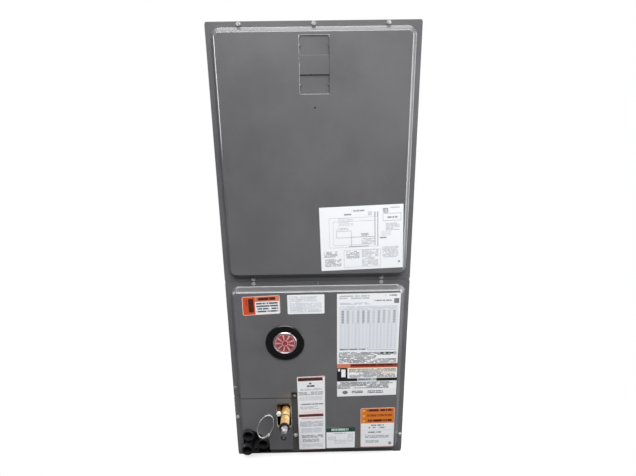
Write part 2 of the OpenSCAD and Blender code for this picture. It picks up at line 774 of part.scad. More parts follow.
// Nylon tie, closed to an oval, resting on the right-hand port and against the plate
module tie_loop() {
    long_r = 37.5;
    short_r = 19.5;
    strap_t = 1.1;
    strap_w = 4.2;
    turn = 70;
    // The lock sits on the strap at this angle of the oval, before its turn
    lock_a = 232;
    lock = [7, 5, strap_w + 0.8];
    lock_at = [(long_r - strap_t / 2) * cos(lock_a), (short_r - strap_t / 2) * sin(lock_a)];
    lock_turn = atan2(short_r * cos(lock_a), -long_r * sin(lock_a));
    // Lowest point of the turned oval below its centre
    low = sqrt(pow(long_r * sin(turn), 2) + pow(short_r * cos(turn), 2));
    low_x = (pow(long_r, 2) - pow(short_r, 2)) * sin(turn) * cos(turn) / low;
    steps = 72;
    centre = [port_b.x + low_x - 1, port_b.y + port_d / 2 + seat_gap + low + 0.2];
    color("#e8e8e6") facing(emboss_e + seat_gap) translate([centre.x, centre.y, 0]) rotate(turn) {
        linear_extrude(strap_w) difference() {
            polygon([for (i = [0 : steps - 1]) [long_r * cos(i * 360 / steps), short_r * sin(i * 360 / steps)]]);
            polygon([for (i = [0 : steps - 1])
                [(long_r - strap_t) * cos(i * 360 / steps), (short_r - strap_t) * sin(i * 360 / steps)]]);
        }
        translate(lock_at) rotate(lock_turn) translate(-lock / 2 + [0, 0, lock.z / 2]) cube(lock);
    }
}

// Moulded pan: a channel all round the throat, and the corner block that carries the ports
module drain_pan() {
    // The corner block starts just behind the bottom frame's turned edge
    block = [port_a.x - port_d / 2 - 3.5, port_b.x + port_d / 2 + 3];
    drain_r = 8;
    color(black) {
        difference() {
            union() {
                translate([0, 0, pan_z]) linear_extrude(pan_h) difference() {
                    rounded_rect(-pan_x, pan_x, pan_y0, pan_y1, 8);
                    translate([-throat_x, pan_y0 + pan_end]) square([2 * throat_x, pan_y1 - pan_y0 - 2 * pan_end]);
                }
                translate([0, 0, pan_z + pan_h - pan_t]) linear_extrude(pan_t) difference() {
                    rounded_rect(-pan_x - 1.2, pan_x + 1.2, pan_y0 - 3, pan_y1 + 3, 9);
                    rounded_rect(-pan_x + 1, pan_x - 1, pan_y0 + 1, pan_y1 - 1, 8);
                }
                translate([block[0], block_y, 17]) cube([block[1] - block[0], pan_y0 - block_y + pan_t, 80]);
            }
            translate([0, 0, pan_floor]) linear_extrude(pan_h) difference() {
                rounded_rect(-pan_x + pan_t, pan_x - pan_t, pan_y0 + pan_t, pan_y1 - pan_t, 6);
                translate([-throat_x - pan_t, pan_y0 + pan_end - pan_t])
                    square([2 * (throat_x + pan_t), pan_y1 - pan_y0 - 2 * (pan_end - pan_t)]);
            }
            facing() for (p = [port_a, port_b]) translate([p.x, p.y, y_front - pan_y0 - pan_t - 1])
                cylinder(h = pan_y0 + pan_t - block_y + 2, r = drain_r, $fn = 48);
            translate([port_a.x + port_d / 2 + 3.5, block_y - 1, port_b.y + port_d / 2 + 3])
                cube([port_b.x - port_a.x + 1, pan_y0 - block_y - 2, 60]);
        }
    }
}

// Threaded sockets on the pan's corner block, three large ones and a small one
module drain_ports() {
    color(black) facing(y_front - block_y) {
        for (p = [port_a, port_b, port_c]) translate([p.x, p.y, 0]) linear_extrude(port_len) difference() {
            circle(d = port_d, $fn = 64);
            circle(d = port_bore, $fn = 64);
        }
        translate([port_s.x, port_s.y, 0]) linear_extrude(port_len) difference() {
            circle(d = small_d, $fn = 48);
            circle(d = small_bore, $fn = 48);
        }
    }
}

// Two folded rails that carry the pan above the bottom frame
module pan_rails() {
    w = 24;
    t = 1.5;
    h = pan_z - sheet_t;
    end_in = 12;
    color(galv) for (s = [-1, 1]) mirror([s < 0 ? 1 : 0, 0, 0])
        translate([pan_x - w - 2, pan_y1 - end_in, sheet_t]) rotate([90, 0, 0])
            linear_extrude(pan_y1 - pan_y0 - 2 * end_in)
                polygon([[0, 0], [t, 0], [t, h - t], [w - t, h - t], [w - t, t], [w - 10, t], [w - 10, 0], [w, 0],
                    [w, h], [0, h]]);
}

// Upright tray on the left wall that becomes the pan when the cabinet lies on its side
module side_tray() {
    t = 2.6;
    deep = 22;
    below_apex = 24;
    rib_t = 2.4;
    z0 = pan_z + pan_h + seat_gap;
    z1 = pan_floor + coil_h - below_apex;
    y0 = pan_y0 + 8;
    y1 = pan_y1 - 8;
    color(black) difference() {
        translate([-x_liner + seat_gap, y0, z0]) cube([deep, y1 - y0, z1 - z0]);
        translate([-x_liner + seat_gap + t, y0 + t, z0 + t]) cube([deep, y1 - y0 - 2 * t, z1 - z0 - 2 * t]);
    }
    color(black) for (i = [1 : 5])
        translate([-x_liner + seat_gap + t - 0.2, y0 + i * (y1 - y0) / 6 - rib_t / 2, z0 + t])
            cube([4, rib_t, z1 - z0 - 2 * t]);
}

// Frame of one slab: x along its thickness, y front to back, z up its length, foot at the origin
module on_slab(s) {
    mirror([s < 0 ? 1 : 0, 0, 0]) translate([slab_foot, coil_y, slab_z]) rotate([0, -lean, 0]) children();
}

// Two finned slabs that lean together, fins cut as a comb on both faces round a plain core
module coil_slabs() {
    n = floor(slab_len / fin_pitch);
    gap = fin_pitch - fin_t;
    y0 = -slab_len / 2;
    edge = (slab_len - n * fin_pitch + gap) / 2;
    outer = slab_t / 2;
    inner = slab_t / 2 - fin_deep;
    side = [for (i = [0 : n - 1]) let (a = y0 + edge + fin_t / 2 + i * fin_pitch, b = a + gap)
        if (i < n - 1) each [[outer, a], [inner, a], [inner, b], [outer, b]]];
    mirror_side = [for (i = [len(side) - 1 : -1 : 0]) [-side[i].x, side[i].y]];
    color("#b4b7ba") for (s = [-1, 1]) on_slab(s)
        linear_extrude(slab_h)
            polygon(concat([[outer, y0]], side, [[outer, -y0], [-outer, -y0]], mirror_side, [[-outer, y0]]));
}

// Plates that close both ends of the coil and hold the slabs
module coil_end_plates() {
    c = slab_t / 2;
    // A slab's corner in the front view
    foot_out = [slab_foot + c * cos(lean), slab_z + c * sin(lean)];
    foot_in = [slab_foot - c * cos(lean), slab_z - c * sin(lean)];
    head_out = foot_out + slab_h * [-sin(lean), cos(lean)];
    right = [foot_in, foot_out, head_out];
    left = [[-head_out.x, head_out.y], [-foot_out.x, foot_out.y], [-foot_in.x, foot_in.y]];
    color(galv) for (y = [coil_y - slab_len / 2, coil_y + end_y])
        translate([0, y, 0]) rotate([90, 0, 0]) linear_extrude(end_t) polygon(concat(right, left));
}

module return_bend(x, z0) {
    translate([x, 0, z0 + tube_pitch / 2]) rotate([0, 90, 0]) rotate(-180)
        rotate_extrude(angle = 180, $fn = 48) translate([tube_pitch / 2, 0]) circle(tube_d / 2, $fn = 32);
}

// Return bends at both ends of the slabs, left out where the suction branches enter
module return_bends() {
    clear = suction_d;
    color(copper) for (s = [-1, 1]) on_slab(s)
        for (row = [0, 1], i = [0 : bend_count - 1]) {
            z = 24 + row * tube_pitch / 2 + 2 * i * tube_pitch;
            x_at = s * (slab_foot - (z + tube_pitch / 2) * sin(lean) + tube_rows[row] * cos(lean));
            if (abs(x_at - suction_x) > clear)
                translate([0, -end_y, 0]) return_bend(tube_rows[row], z);
            translate([0, end_y, 0]) mirror([0, 1, 0]) return_bend(tube_rows[row], z);
        }
}

// Folded cap over the apex of the coil
module coil_cap() {
    head_x = slab_foot - slab_h * sin(lean) + slab_t / 2 * cos(lean);
    head_z = slab_z + slab_h * cos(lean) + slab_t / 2 * sin(lean);
    drop = 18;
    foot_x = head_x + drop * tan(lean);
    g = seat_gap;
    color(galv) translate([0, coil_y + slab_len / 2 - 2, 0]) rotate([90, 0, 0]) linear_extrude(slab_len - 4)
        polygon([[foot_x + g, head_z - drop], [head_x + g, head_z + g], [-head_x - g, head_z + g],
            [-foot_x - g, head_z - drop], [-foot_x - g - sheet_t, head_z - drop],
            [-head_x - g - sheet_t, head_z + g + sheet_t], [head_x + g + sheet_t, head_z + g + sheet_t],
            [foot_x + g + sheet_t, head_z - drop]]);
}

// Brass distributor on the liquid line, with thin feeders that reach the end plate
module distributor() {
    r = liquid_d / 2;
    bend = 18;
    feeder_r = 2.4;
    head_top = 44;
    rises = [12, 24, 24, 12];
    reach = coil_y - end_y - liquid_y;
    color("#c9a24a") translate([dist_x, liquid_y, dist_z]) {
        rotate_extrude($fn = 48)
            polygon([[0, 0], [r + 2.4, 0], [r + 3, 2], [r + 3, 16], [r + 7, 30], [r + 7, head_top - 1],
                [r + 6, head_top], [0, head_top]]);
        for (i = [0 : 3]) translate([(i - 1.5) * (2 * feeder_r + 0.8), 0, head_top - 1]) {
            cylinder(h = rises[i], r = feeder_r, $fn = 24);
            translate([0, 0, rises[i]]) rotate([90, 0, 90]) elbow(feeder_r, bend);
            translate([0, bend, rises[i] + bend]) rotate([-90, 0, 0]) cylinder(h = reach - bend, r = feeder_r, $fn = 24);
        }
    }
}

// Points of the scroll from the cut-off round the bottom to the outlet, grown by a wall
function scroll_line(grow) = [for (i = [0 : 48]) let (a = -scroll_turn + i * scroll_turn / 48,
    r = scroll_r + scroll_grow * i / 48 + grow) [r * cos(a), r * sin(a)]];

module blower_frame() {
    translate([0, axis_y, axis_z]) children();
}

// Curved wall of the scroll with its straight rear wall up to the deck
module scroll_wrap() {
    inner = scroll_line(0);
    outer = scroll_line(sheet_t);
    n = len(outer);
    color(galv) blower_frame() along_x(-house_x)
        linear_extrude(2 * house_x)
            polygon(concat(inner, [[outlet_y, axis_drop], [outlet_y + sheet_t, axis_drop]],
                [for (i = [n - 1 : -1 : 0]) outer[i]]));
}

module side_outline(grow) {
    polygon(concat([[0, 0]], scroll_line(grow)));
    translate([cutoff_y - grow, 0]) square([outlet_y - cutoff_y + 2 * grow, axis_drop]);
}

module scroll_sides() {
    lip = 10;
    color(galv) blower_frame() for (s = [-1, 1]) {
        along_x(s > 0 ? house_x : -house_x - sheet_t) linear_extrude(sheet_t) difference() {
            side_outline(side_rim);
            circle(inlet_r + 8, $fn = 96);
        }
        translate([s > 0 ? house_x : -house_x - lip, cutoff_y - side_rim, axis_drop - sheet_t])
            cube([lip, outlet_y - cutoff_y + 2 * side_rim, sheet_t]);
    }
}

// Curved inlet rings that lead the air into the wheel
module inlet_rings() {
    t = sheet_t;
    color(galv) blower_frame() for (s = [-1, 1]) mirror([s < 0 ? 1 : 0, 0, 0])
        along_x(house_x + sheet_t) rotate_extrude($fn = 96)
            polygon([[inlet_r + 18, 0], [inlet_r + 18, t], [inlet_r + 6, t], [inlet_r + 1.6, -1],
                [inlet_r, -5], [inlet_r, -9], [inlet_r + t, -9], [inlet_r + t, -5], [inlet_r + 3.4, -1.2],
                [inlet_r + 7, 0]]);
}

// Plate that closes the outlet's front side down to the cut-off
module cutoff_plate() {
    color(galv) blower_frame() {
        z0 = (scroll_r + sheet_t) * sin(cut_angle) + 0.1;
        translate([-house_x, cutoff_y - sheet_t, z0]) cube([2 * house_x, sheet_t, axis_drop - z0]);
    }
}

// One forward-curved blade, an arc of sheet from the inner to the outer radius
module blade_shape() {
    steps = 8;
    // The blade's arc turns forward as it goes outwards
    mid = [for (i = [0 : steps]) let (t = i / steps) [blade_in + blade_deep * t, 9 * t * t + 3.2 * t]];
    polygon(concat([for (p = mid) [p.x, p.y - blade_t / 2]],
        [for (i = [steps : -1 : 0]) [mid[i].x, mid[i].y + blade_t / 2]]));
}

// Blades of the double-inlet wheel, their ends on the two rings
module wheel_blades() {
    span = wheel_w - 2 * ring_t;
    color(galv) blower_frame() along_x(-span / 2)
        for (i = [0 : blades - 1]) rotate(i * 360 / blades) linear_extrude(span) intersection() {
            blade_shape();
            circle(wheel_r - 0.5, $fn = 128);
        }
}

module wheel_rings() {
    color(galv) blower_frame() for (x = [-wheel_w / 2, wheel_w / 2 - ring_t])
        along_x(x) linear_extrude(ring_t) difference() {
            circle(wheel_r, $fn = 128);
            circle(wheel_r - ring_w, $fn = 128);
        }
}

// Middle disc, whose rim grips the blades' inner edges
module wheel_disc() {
    color(galv) blower_frame() along_x(-disc_t / 2) linear_extrude(disc_t) difference() {
        circle(blade_in + blade_grip, $fn = 128);
        circle(hub_r, $fn = 64);
        for (a = [0 : 60 : 300]) rotate(a) translate([(blade_in + hub_r) / 2, 0]) circle(13, $fn = 48);
    }
}

module wheel_hub() {
    color(zinc) blower_frame() along_x(-hub_len / 2) difference() {
        union() {
            cylinder(h = hub_len, r = hub_r, $fn = 64);
            translate([0, 0, hub_len / 2 - disc_t / 2 - 2]) cylinder(h = 2, r = hub_r + 8, $fn = 64);
        }
        translate([0, 0, -1]) cylinder(h = hub_len + 2, d = shaft_d, $fn = 64);
        translate([0, hub_r, hub_len / 4 - 1]) rotate([90, 0, 0]) cylinder(h = hub_r, r = 3, $fn = 32);
    }
}

module motor_shaft() {
    color(zinc) blower_frame() along_x(-hub_len / 2 - 8)
        cylinder(h = motor_x + motor_len - 12 + hub_len / 2 + 8, d = shaft_d, $fn = 64);
}

// Motor in the right-hand inlet: a shell with rounded shoulders, end bosses and cooling slots
module blower_motor() {
    r = motor_d / 2;
    color("#3a3d42") blower_frame() difference() {
        along_x(motor_x) rotate_extrude($fn = 96)
            polygon([[0, 0], [20, 0], [24, 4], [r - 14, 6], [r - 4, 10], [r, 16], [r, motor_len - 16],
                [r - 4, motor_len - 10], [r - 14, motor_len - 6], [24, motor_len - 4], [20, motor_len], [0, motor_len]]);
        along_x(motor_x - 1) cylinder(h = motor_len - 10, r = shaft_d / 2 + shaft_fit, $fn = 64);
        for (a = [0 : 30 : 330])
            along_x(motor_x + motor_len - 9) rotate(a) translate([r - 30, -3, 0]) cube([16, 6, 12]);
    }
}

// Band round the motor with three arms whose feet sit on the side plate
module belly_band() {
    r = motor_d / 2;
    band_w = 26;
    band_t = 1.6;
    arm_w = 22;
    arm_t = 2.4;
    foot_x = house_x + 2 * sheet_t;
    band_x = foot_x - 6;
    foot_r = inlet_r + 13;
    color(galv) blower_frame() {
        along_x(band_x) linear_extrude(band_w) difference() {
            circle(r + 0.1 + band_t, $fn = 96);
            circle(r + 0.1, $fn = 96);
        }
        for (a = arm_angles) rotate([a, 0, 0]) translate([0, r + band_t - 0.5, -arm_w / 2])
            linear_extrude(arm_w)
                polygon([[foot_x + 16, 0], [foot_x + 16 + arm_t, 0], [foot_x + 16 + arm_t, foot_r - r - 8],
                    [foot_x + arm_t, foot_r - r - 2], [foot_x + arm_t, foot_r - r + 14],
                    [foot_x, foot_r - r + 14], [foot_x, foot_r - r - 4], [foot_x + 16, foot_r - r - 10]]);
        along_x(band_x + 6) translate([-6, -r - band_t - 9, 0]) cube([12, 9.5, 14]);
    }
}

// Oval run capacitor on the left side plate, with its two spade terminals
module run_capacitor() {
    color(zinc) blower_frame() translate([-house_x - sheet_t - 0.1, cap_at.x, cap_at.y]) {
        translate([-34, 0, 0]) linear_extrude(46) {
            translate([17, -14]) circle(16.8, $fn = 48);
            translate([17, 14]) circle(16.8, $fn = 48);
            translate([0.2, -14]) square([33.6, 28]);
        }
        for (y = [-9, 9]) translate([-20, y - 3.2, 46]) cube([1, 6.4, 9]);
    }
}

module capacitor_strap() {
    color(galv) blower_frame() translate([-house_x - sheet_t, cap_at.x, cap_at.y + cap_strap_up])
        linear_extrude(14) difference() {
        union() {
            translate([-36, -33]) square([36, 66]);
            translate([-1.4, -46]) square([1.4, 92]);
        }
        translate([-34.2, -31.4]) square([40, 62.8]);
    }
}

// Plate between the control compartment and the plenum, with the heater opening
module control_panel() {
    color(galv) difference() {
        union() {
            translate([-x_wall, panel_y, deck_top]) cube([2 * x_wall, sheet_t, control_h]);
            translate([-x_wall, panel_y - 12, deck_top]) cube([2 * x_wall, 12.5, sheet_t]);
        }
        translate([-cover_w / 2 + 10, panel_y - 1, deck_top + 18]) cube([cover_w - 20, 4, cover_h - 20]);
    }
}

module heater_cover() {
    rim = 18;
    color(paint) translate([-cover_w / 2, panel_y, deck_top + 8]) rotate([90, 0, 0]) {
        linear_extrude(sheet_t) rounded_rect(0, cover_w, 0, cover_h, 5);
        translate([0, 0, 0.5]) linear_extrude(3.2) rounded_rect(rim, cover_w - rim, rim, cover_h - rim, 6);
        for (x = [7, cover_w - 7], y = [7, cover_h - 7])
            translate([x, y, 0.5]) cylinder(h = 4, d = hex_af / cos(30), $fn = 6);
    }
}

// Relay board on stand-offs, left of the heater cover
module control_board() {
    w = 84;
    h = 96;
    x0 = -cover_w / 2 - 12 - w;
    color("#3f6b4a") translate([x0, panel_y - 9, deck_top + 20]) {
        difference() {
            cube([w, 1.6, h]);
            for (x = [6, w - 6], z = [6, h - 6]) translate([x, -1, z]) rotate([-90, 0, 0]) cylinder(h = 4, d = 3.4, $fn = 24);
        }
        for (x = [6, w - 6], z = [6, h - 6]) translate([x, 1.5, z]) rotate([-90, 0, 0]) cylinder(h = 7.5, d = 6, $fn = 24);
        translate([12, -15.5, 52]) cube([26, 16, 19]);
        translate([46, -15.5, 52]) cube([26, 16, 19]);
        translate([10, -8.5, 14]) cube([9, 9, 26]);
        for (i = [0 : 5]) translate([30 + i * 8, -6.5, 12]) cube([5, 7, 12]);
        translate([34, -2.5, 32]) cube([22, 3, 10]);
    }
}

// Low-voltage transformer: laminated core, wound bobbin and feet
module transformer() {
    x0 = cover_w / 2 + 14;
    color("#4c4a46") translate([x0, panel_y, deck_top + 22]) {
        translate([0, -2, 0]) cube([70, 2, 14]);
        difference() {
            translate([6, -46, 0]) cube([58, 44.5, 50]);
            for (x = [16, 46]) translate([x, -47, 12]) cube([8, 47, 26]);
        }
        translate([14, -56, 14]) cube([42, 64 - 8 - 0.5, 22]);
    }
}

module terminal_block() {
    x0 = cover_w / 2 + 16;
    color("#2b2b2b") translate([x0, panel_y, deck_top + 92]) {
        difference() {
            translate([0, -20, 0]) cube([60, 20, 24]);
            for (i = [0 : 2]) translate([3 + i * 19, -21, 5]) cube([16, 14, 25]);
        }
        for (i = [0 : 2]) translate([11 + i * 19, -5, 15]) rotate([90, 0, 0]) cylinder(h = 5, d = 8, $fn = 32);
    }
}

module ground_lug() {
    color("#b08d57") translate([-x_wall + 24, panel_y, deck_top + 4]) {
        translate([-7, -2, 0]) cube([14, 2, 13]);
        difference() {
            translate([-5, -12, 3]) cube([10, 10.5, 10]);
            translate([-6, -7, 8]) rotate([0, 90, 0]) cylinder(h = 12, d = 6, $fn = 32);
        }
        translate([0, -7, 12.5]) cylinder(h = 4, d = 6, $fn = 32);
    }
}

module wire_grommet() {
    color(black) translate([-x_side, grommet_y, grommet_z]) rotate([0, 90, 0]) rotate_extrude($fn = 64)
        polygon([[wire_r, -2.2], [grommet_r + 2.4, -2.2], [grommet_r + 3, -0.3], [grommet_r - 0.2, -0.3],
            [grommet_r - 0.2, sheet_t + 0.3], [grommet_r + 3, sheet_t + 0.3], [grommet_r + 2.4, sheet_t + 2.2],
            [wire_r, sheet_t + 2.2]]);
}

// Screws through the cabinet's sides into the frames and the blower deck's edges
module frame_screws() {
    ys = [-cab_d / 5, cab_d / 10, cab_d * 2 / 5];
    color(zinc) for (s = [-1, 1], y = ys, z = [9, cab_h - 9])
        translate([s * x_side, y, z]) rotate([0, s * 90, 0]) {
            cylinder(h = 1, d = washer_d - 1, $fn = 48);
            cylinder(h = head_h - 1, d = hex_af / cos(30), $fn = 6);
        }
}

cabinet_wrap();
top_frame();
bottom_frame();
centre_rail();
side_liners();
back_liner();
blower_deck();
upper_panel();
upper_panel_board();
upper_panel_screws();
lower_panel();
lower_panel_board();
lower_panel_screws();
badge_ring();
badge_disc();
connection_plate();
plate_frame();
plate_screws();
line_gasket();
suction_line();
liquid_line();
liquid_cap();
suction_plug();
access_valve();
valve_cap();
tie_loop();
drain_pan();
drain_ports();
pan_rails();
side_tray();
coil_slabs();
coil_end_plates();
return_bends();
coil_cap();
distributor();
scroll_wrap();
scroll_sides();
inlet_rings();
cutoff_plate();
wheel_blades();
wheel_rings();
wheel_disc();
wheel_hub();
motor_shaft();
blower_motor();
belly_band();
run_capacitor();
capacitor_strap();
control_panel();
heater_cover();
control_board();
transformer();
terminal_block();
ground_lug();
wire_grommet();
frame_screws();
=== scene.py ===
import math
import bpy
import bmesh
from mathutils import Matrix, Vector


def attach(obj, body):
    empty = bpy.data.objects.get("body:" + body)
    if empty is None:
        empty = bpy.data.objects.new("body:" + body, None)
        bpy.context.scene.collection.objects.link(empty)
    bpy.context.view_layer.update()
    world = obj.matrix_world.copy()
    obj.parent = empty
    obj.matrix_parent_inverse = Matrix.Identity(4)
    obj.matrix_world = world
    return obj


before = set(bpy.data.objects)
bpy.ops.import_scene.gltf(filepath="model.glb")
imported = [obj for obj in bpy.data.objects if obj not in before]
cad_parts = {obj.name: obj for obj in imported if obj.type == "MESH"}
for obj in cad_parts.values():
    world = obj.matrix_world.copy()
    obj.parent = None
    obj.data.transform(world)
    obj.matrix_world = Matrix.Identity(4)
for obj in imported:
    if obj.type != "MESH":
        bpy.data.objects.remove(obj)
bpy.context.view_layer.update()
print("stage: cabinet loaded,", len(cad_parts), "nodes")

# Planes of the cabinet that the floor, the stickers and the shading share, in metres
cabinet = {"faceY": -0.2905, "insideX": 0.2222, "insideY": 0.2722}


class Value:
    # A number that varies over a surface; + - * / and comparisons add Math nodes
    def __init__(self, paint, socket):
        self.paint = paint
        self.socket = socket

    def math(self, operation, *others):
        values = {0: self.socket}
        for i, other in enumerate(others):
            values[i + 1] = other.socket if isinstance(other, Value) else other
        node = self.paint.add("ShaderNodeMath", {"operation": operation}, values)
        return Value(self.paint, node.outputs[0])

    def __add__(self, other): return self.math("ADD", other)
    def __radd__(self, other): return self.math("ADD", other)
    def __sub__(self, other): return self.math("SUBTRACT", other)
    def __rsub__(self, other): return self.math("MULTIPLY_ADD", -1.0, other)
    def __mul__(self, other): return self.math("MULTIPLY", other)
    def __rmul__(self, other): return self.math("MULTIPLY", other)
    def __truediv__(self, other): return self.math("DIVIDE", other)
    def __gt__(self, other): return self.math("GREATER_THAN", other)
    def __lt__(self, other): return self.math("LESS_THAN", other)
    def __abs__(self): return self.math("ABSOLUTE")

    def floor(self): return self.math("FLOOR")
    def fract(self): return self.math("FRACT")
    def power(self, n): return self.math("POWER", n)
    def largest(self, other): return self.math("MAXIMUM", other)
    def clamped(self): return self.math("MINIMUM", 1.0).math("MAXIMUM", 0.0)

    def between(self, low, high):
        return (self > low) * (self < high)

    def ease(self, low, high):
        # 0 below low, 1 above high, smooth between
        node = self.paint.add("ShaderNodeMapRange", {"interpolation_type": "SMOOTHSTEP"},
                              {"Value": self.socket, "From Min": low, "From Max": high})
        return Value(self.paint, node.outputs[0])


class Finish:
    # One material: a Principled shader and the nodes that feed it, in Object coordinates unless told otherwise
    def __init__(self, name, **constants):
        self.material = bpy.data.materials.new(name)
        self.material.use_nodes = True
        self.tree = self.material.node_tree
        self.shader = self.tree.nodes["Principled BSDF"]
        self.place = self.add("ShaderNodeTexCoord").outputs["Object"]
        for key, value in constants.items():
            self.shader.inputs[key.replace("_", " ")].default_value = value

    def add(self, kind, settings=None, values=None):
        node = self.tree.nodes.new(kind)
        for key, value in (settings or {}).items():
            setattr(node, key, value)
        for key, value in (values or {}).items():
            socket = node.inputs[key]
            if isinstance(value, Value):
                value = value.socket
            if isinstance(value, bpy.types.NodeSocket):
                self.tree.links.new(value, socket)
            else:
                socket.default_value = value
        return node

    def feed(self, socket, value):
        out = value.socket if isinstance(value, Value) else value
        self.tree.links.new(out, self.shader.inputs[socket])

    def axes(self, source=None):
        node = self.add("ShaderNodeSeparateXYZ", None, {"Vector": source or self.place})
        return [Value(self, out) for out in node.outputs]

    def vector(self, x, y, z=0.0):
        return self.add("ShaderNodeCombineXYZ", None, {"X": x, "Y": y, "Z": z}).outputs[0]

    def moved(self, turn=(0, 0, 0), scale=(1, 1, 1)):
        node = self.add("ShaderNodeMapping", None, {"Vector": self.place, "Rotation": turn, "Scale": scale})
        return node.outputs[0]

    def noise(self, scale, detail=2.0, rough=0.5, source=None):
        node = self.add("ShaderNodeTexNoise", None, {"Vector": source or self.place, "Scale": scale,
                                                     "Detail": detail, "Roughness": rough})
        return Value(self, node.outputs["Fac"])

    def cells(self, scale, feature="F1", output="Distance", source=None):
        node = self.add("ShaderNodeTexVoronoi", {"feature": feature},
                        {"Vector": source or self.place, "Scale": scale})
        return node.outputs[output]

    def chance(self, *parts):
        node = self.add("ShaderNodeTexWhiteNoise", None, {"Vector": self.vector(*parts)})
        return Value(self, node.outputs["Value"])

    def blend(self, amount, first, second):
        node = self.add("ShaderNodeMix", {"data_type": "RGBA"}, {"Factor": amount})
        for index, value in ((6, first), (7, second)):
            if isinstance(value, bpy.types.NodeSocket):
                self.tree.links.new(value, node.inputs[index])
            else:
                node.inputs[index].default_value = tuple(value)[:3] + (1.0,)
        return node.outputs[2]

    def bump(self, height, strength, distance, under=None):
        values = {"Height": height, "Strength": strength, "Distance": distance}
        if under is not None:
            values["Normal"] = under
        return self.add("ShaderNodeBump", None, values).outputs[0]


def tone(code):
    # A colour code as the shader wants it
    parts = [int(code[i:i + 2], 16) / 255 for i in (1, 3, 5)]
    return tuple(p / 12.92 if p <= 0.04045 else ((p + 0.055) / 1.055) ** 2.4 for p in parts)


viewpoint = {"place": (-0.0058, -1.2879, 0.9346), "tilt": 0.304133, "turn": -0.0083289,
             "roll": -0.0136412, "focalPixels": 455, "imageWidth": 636}


def makeCamera(v):
    looking = (Matrix.Rotation(v["roll"], 3, "Z") @ Matrix.Rotation(v["tilt"], 3, "X")
               @ Matrix.Rotation(v["turn"], 3, "Y") @ Matrix(((1, 0, 0), (0, 0, -1), (0, 1, 0))))
    axes = Matrix((looking[0], -looking[1], -looking[2])).transposed()
    data = bpy.data.cameras.new("shopCamera")
    data.sensor_fit = "HORIZONTAL"
    data.sensor_width = 36
    data.lens = v["focalPixels"] / v["imageWidth"] * data.sensor_width
    camera = bpy.data.objects.new("shopCamera", data)
    camera.matrix_world = Matrix.Translation(v["place"]) @ axes.to_4x4()
    bpy.context.scene.collection.objects.link(camera)
    bpy.context.scene.camera = camera


lamps = {
    "ceilingFront": {"place": (0.1, -2.0, 3.3), "aim": (0.1, -2.0, 0), "size": (3.7, 1.25), "power": 150},
    "ceilingMiddle": {"place": (0.1, -0.75, 3.3), "aim": (0.1, -0.75, 0), "size": (3.7, 1.25), "power": 46},
    "ceilingBack": {"place": (0.1, 0.5, 3.3), "aim": (0.1, 0.5, 0), "size": (3.7, 1.25), "power": 9},
    "seamStrip": {"place": (0, -1.6, 1.85), "aim": (0, -0.28, 0.5), "size": (1.8, 0.2), "power": 13},
    "overStrip": {"place": (0, -0.37, 2.45), "aim": (0, -0.37, 0), "size": (2.0, 0.14), "power": 8},
    "rightNear": {"place": (1.8, -0.6, 0.9), "aim": (0, -0.6, 0.9), "size": (0.8, 2.0), "power": 28},
    "rightFar": {"place": (1.8, 0.2, 0.9), "aim": (0, 0.2, 0.9), "size": (0.8, 2.0), "power": 28},
    "backSoft": {"place": (-1.0, 3.0, 1.7), "aim": (0, 0.27, 0.55), "size": (1.6, 1.6), "power": 60},
    "leftSoft": {"place": (-2.5, 1.0, 1.4), "aim": (-0.22, 0.1, 0.55), "size": (1.2, 1.8), "power": 42},
}
# Light from all round, and what shiny surfaces mirror; the camera itself sees plain white
surroundings = {"fill": 0.04, "tint": (0.97, 0.98, 1), "reflected": 0.03}


def makeLamps(table):
    for name, lamp in table.items():
        data = bpy.data.lights.new(name, "AREA")
        data.shape = "RECTANGLE"
        data.size, data.size_y = lamp["size"]
        data.energy = lamp["power"]
        item = bpy.data.objects.new(name, data)
        item.location = lamp["place"]
        toward = Vector(lamp["aim"]) - Vector(lamp["place"])
        item.rotation_euler = toward.to_track_quat("-Z", "Y").to_euler()
        bpy.context.scene.collection.objects.link(item)


def makeSurroundings(s):
    world = bpy.data.worlds.new("paleRoom")
    bpy.context.scene.world = world
    world.use_nodes = True
    nodes, links = world.node_tree.nodes, world.node_tree.links
    nodes.clear()
    path = nodes.new("ShaderNodeLightPath")

    def glow(colour, strength):
        node = nodes.new("ShaderNodeBackground")
        node.inputs["Color"].default_value = colour + (1,)
        node.inputs["Strength"].default_value = strength
        return node.outputs[0]

    def forRay(kind, others, those):
        node = nodes.new("ShaderNodeMixShader")
        for index, socket in enumerate((path.outputs[kind], others, those)):
            links.new(socket, node.inputs[index])
        return node.outputs[0]

    lit = forRay("Is Glossy Ray", glow(s["tint"], s["fill"]), glow((1, 1, 1), s["reflected"]))
    seen = forRay("Is Camera Ray", lit, glow((1, 1, 1), 1))
    links.new(seen, nodes.new("ShaderNodeOutputWorld").inputs[0])


# Glow that the camera sees, near the cabinet and far away, and the ring in which it changes
ground = {"half": 25, "near": 0.7, "far": 1.0, "ringIn": 0.25, "ringOut": 0.8, "thrownBack": 0.08}


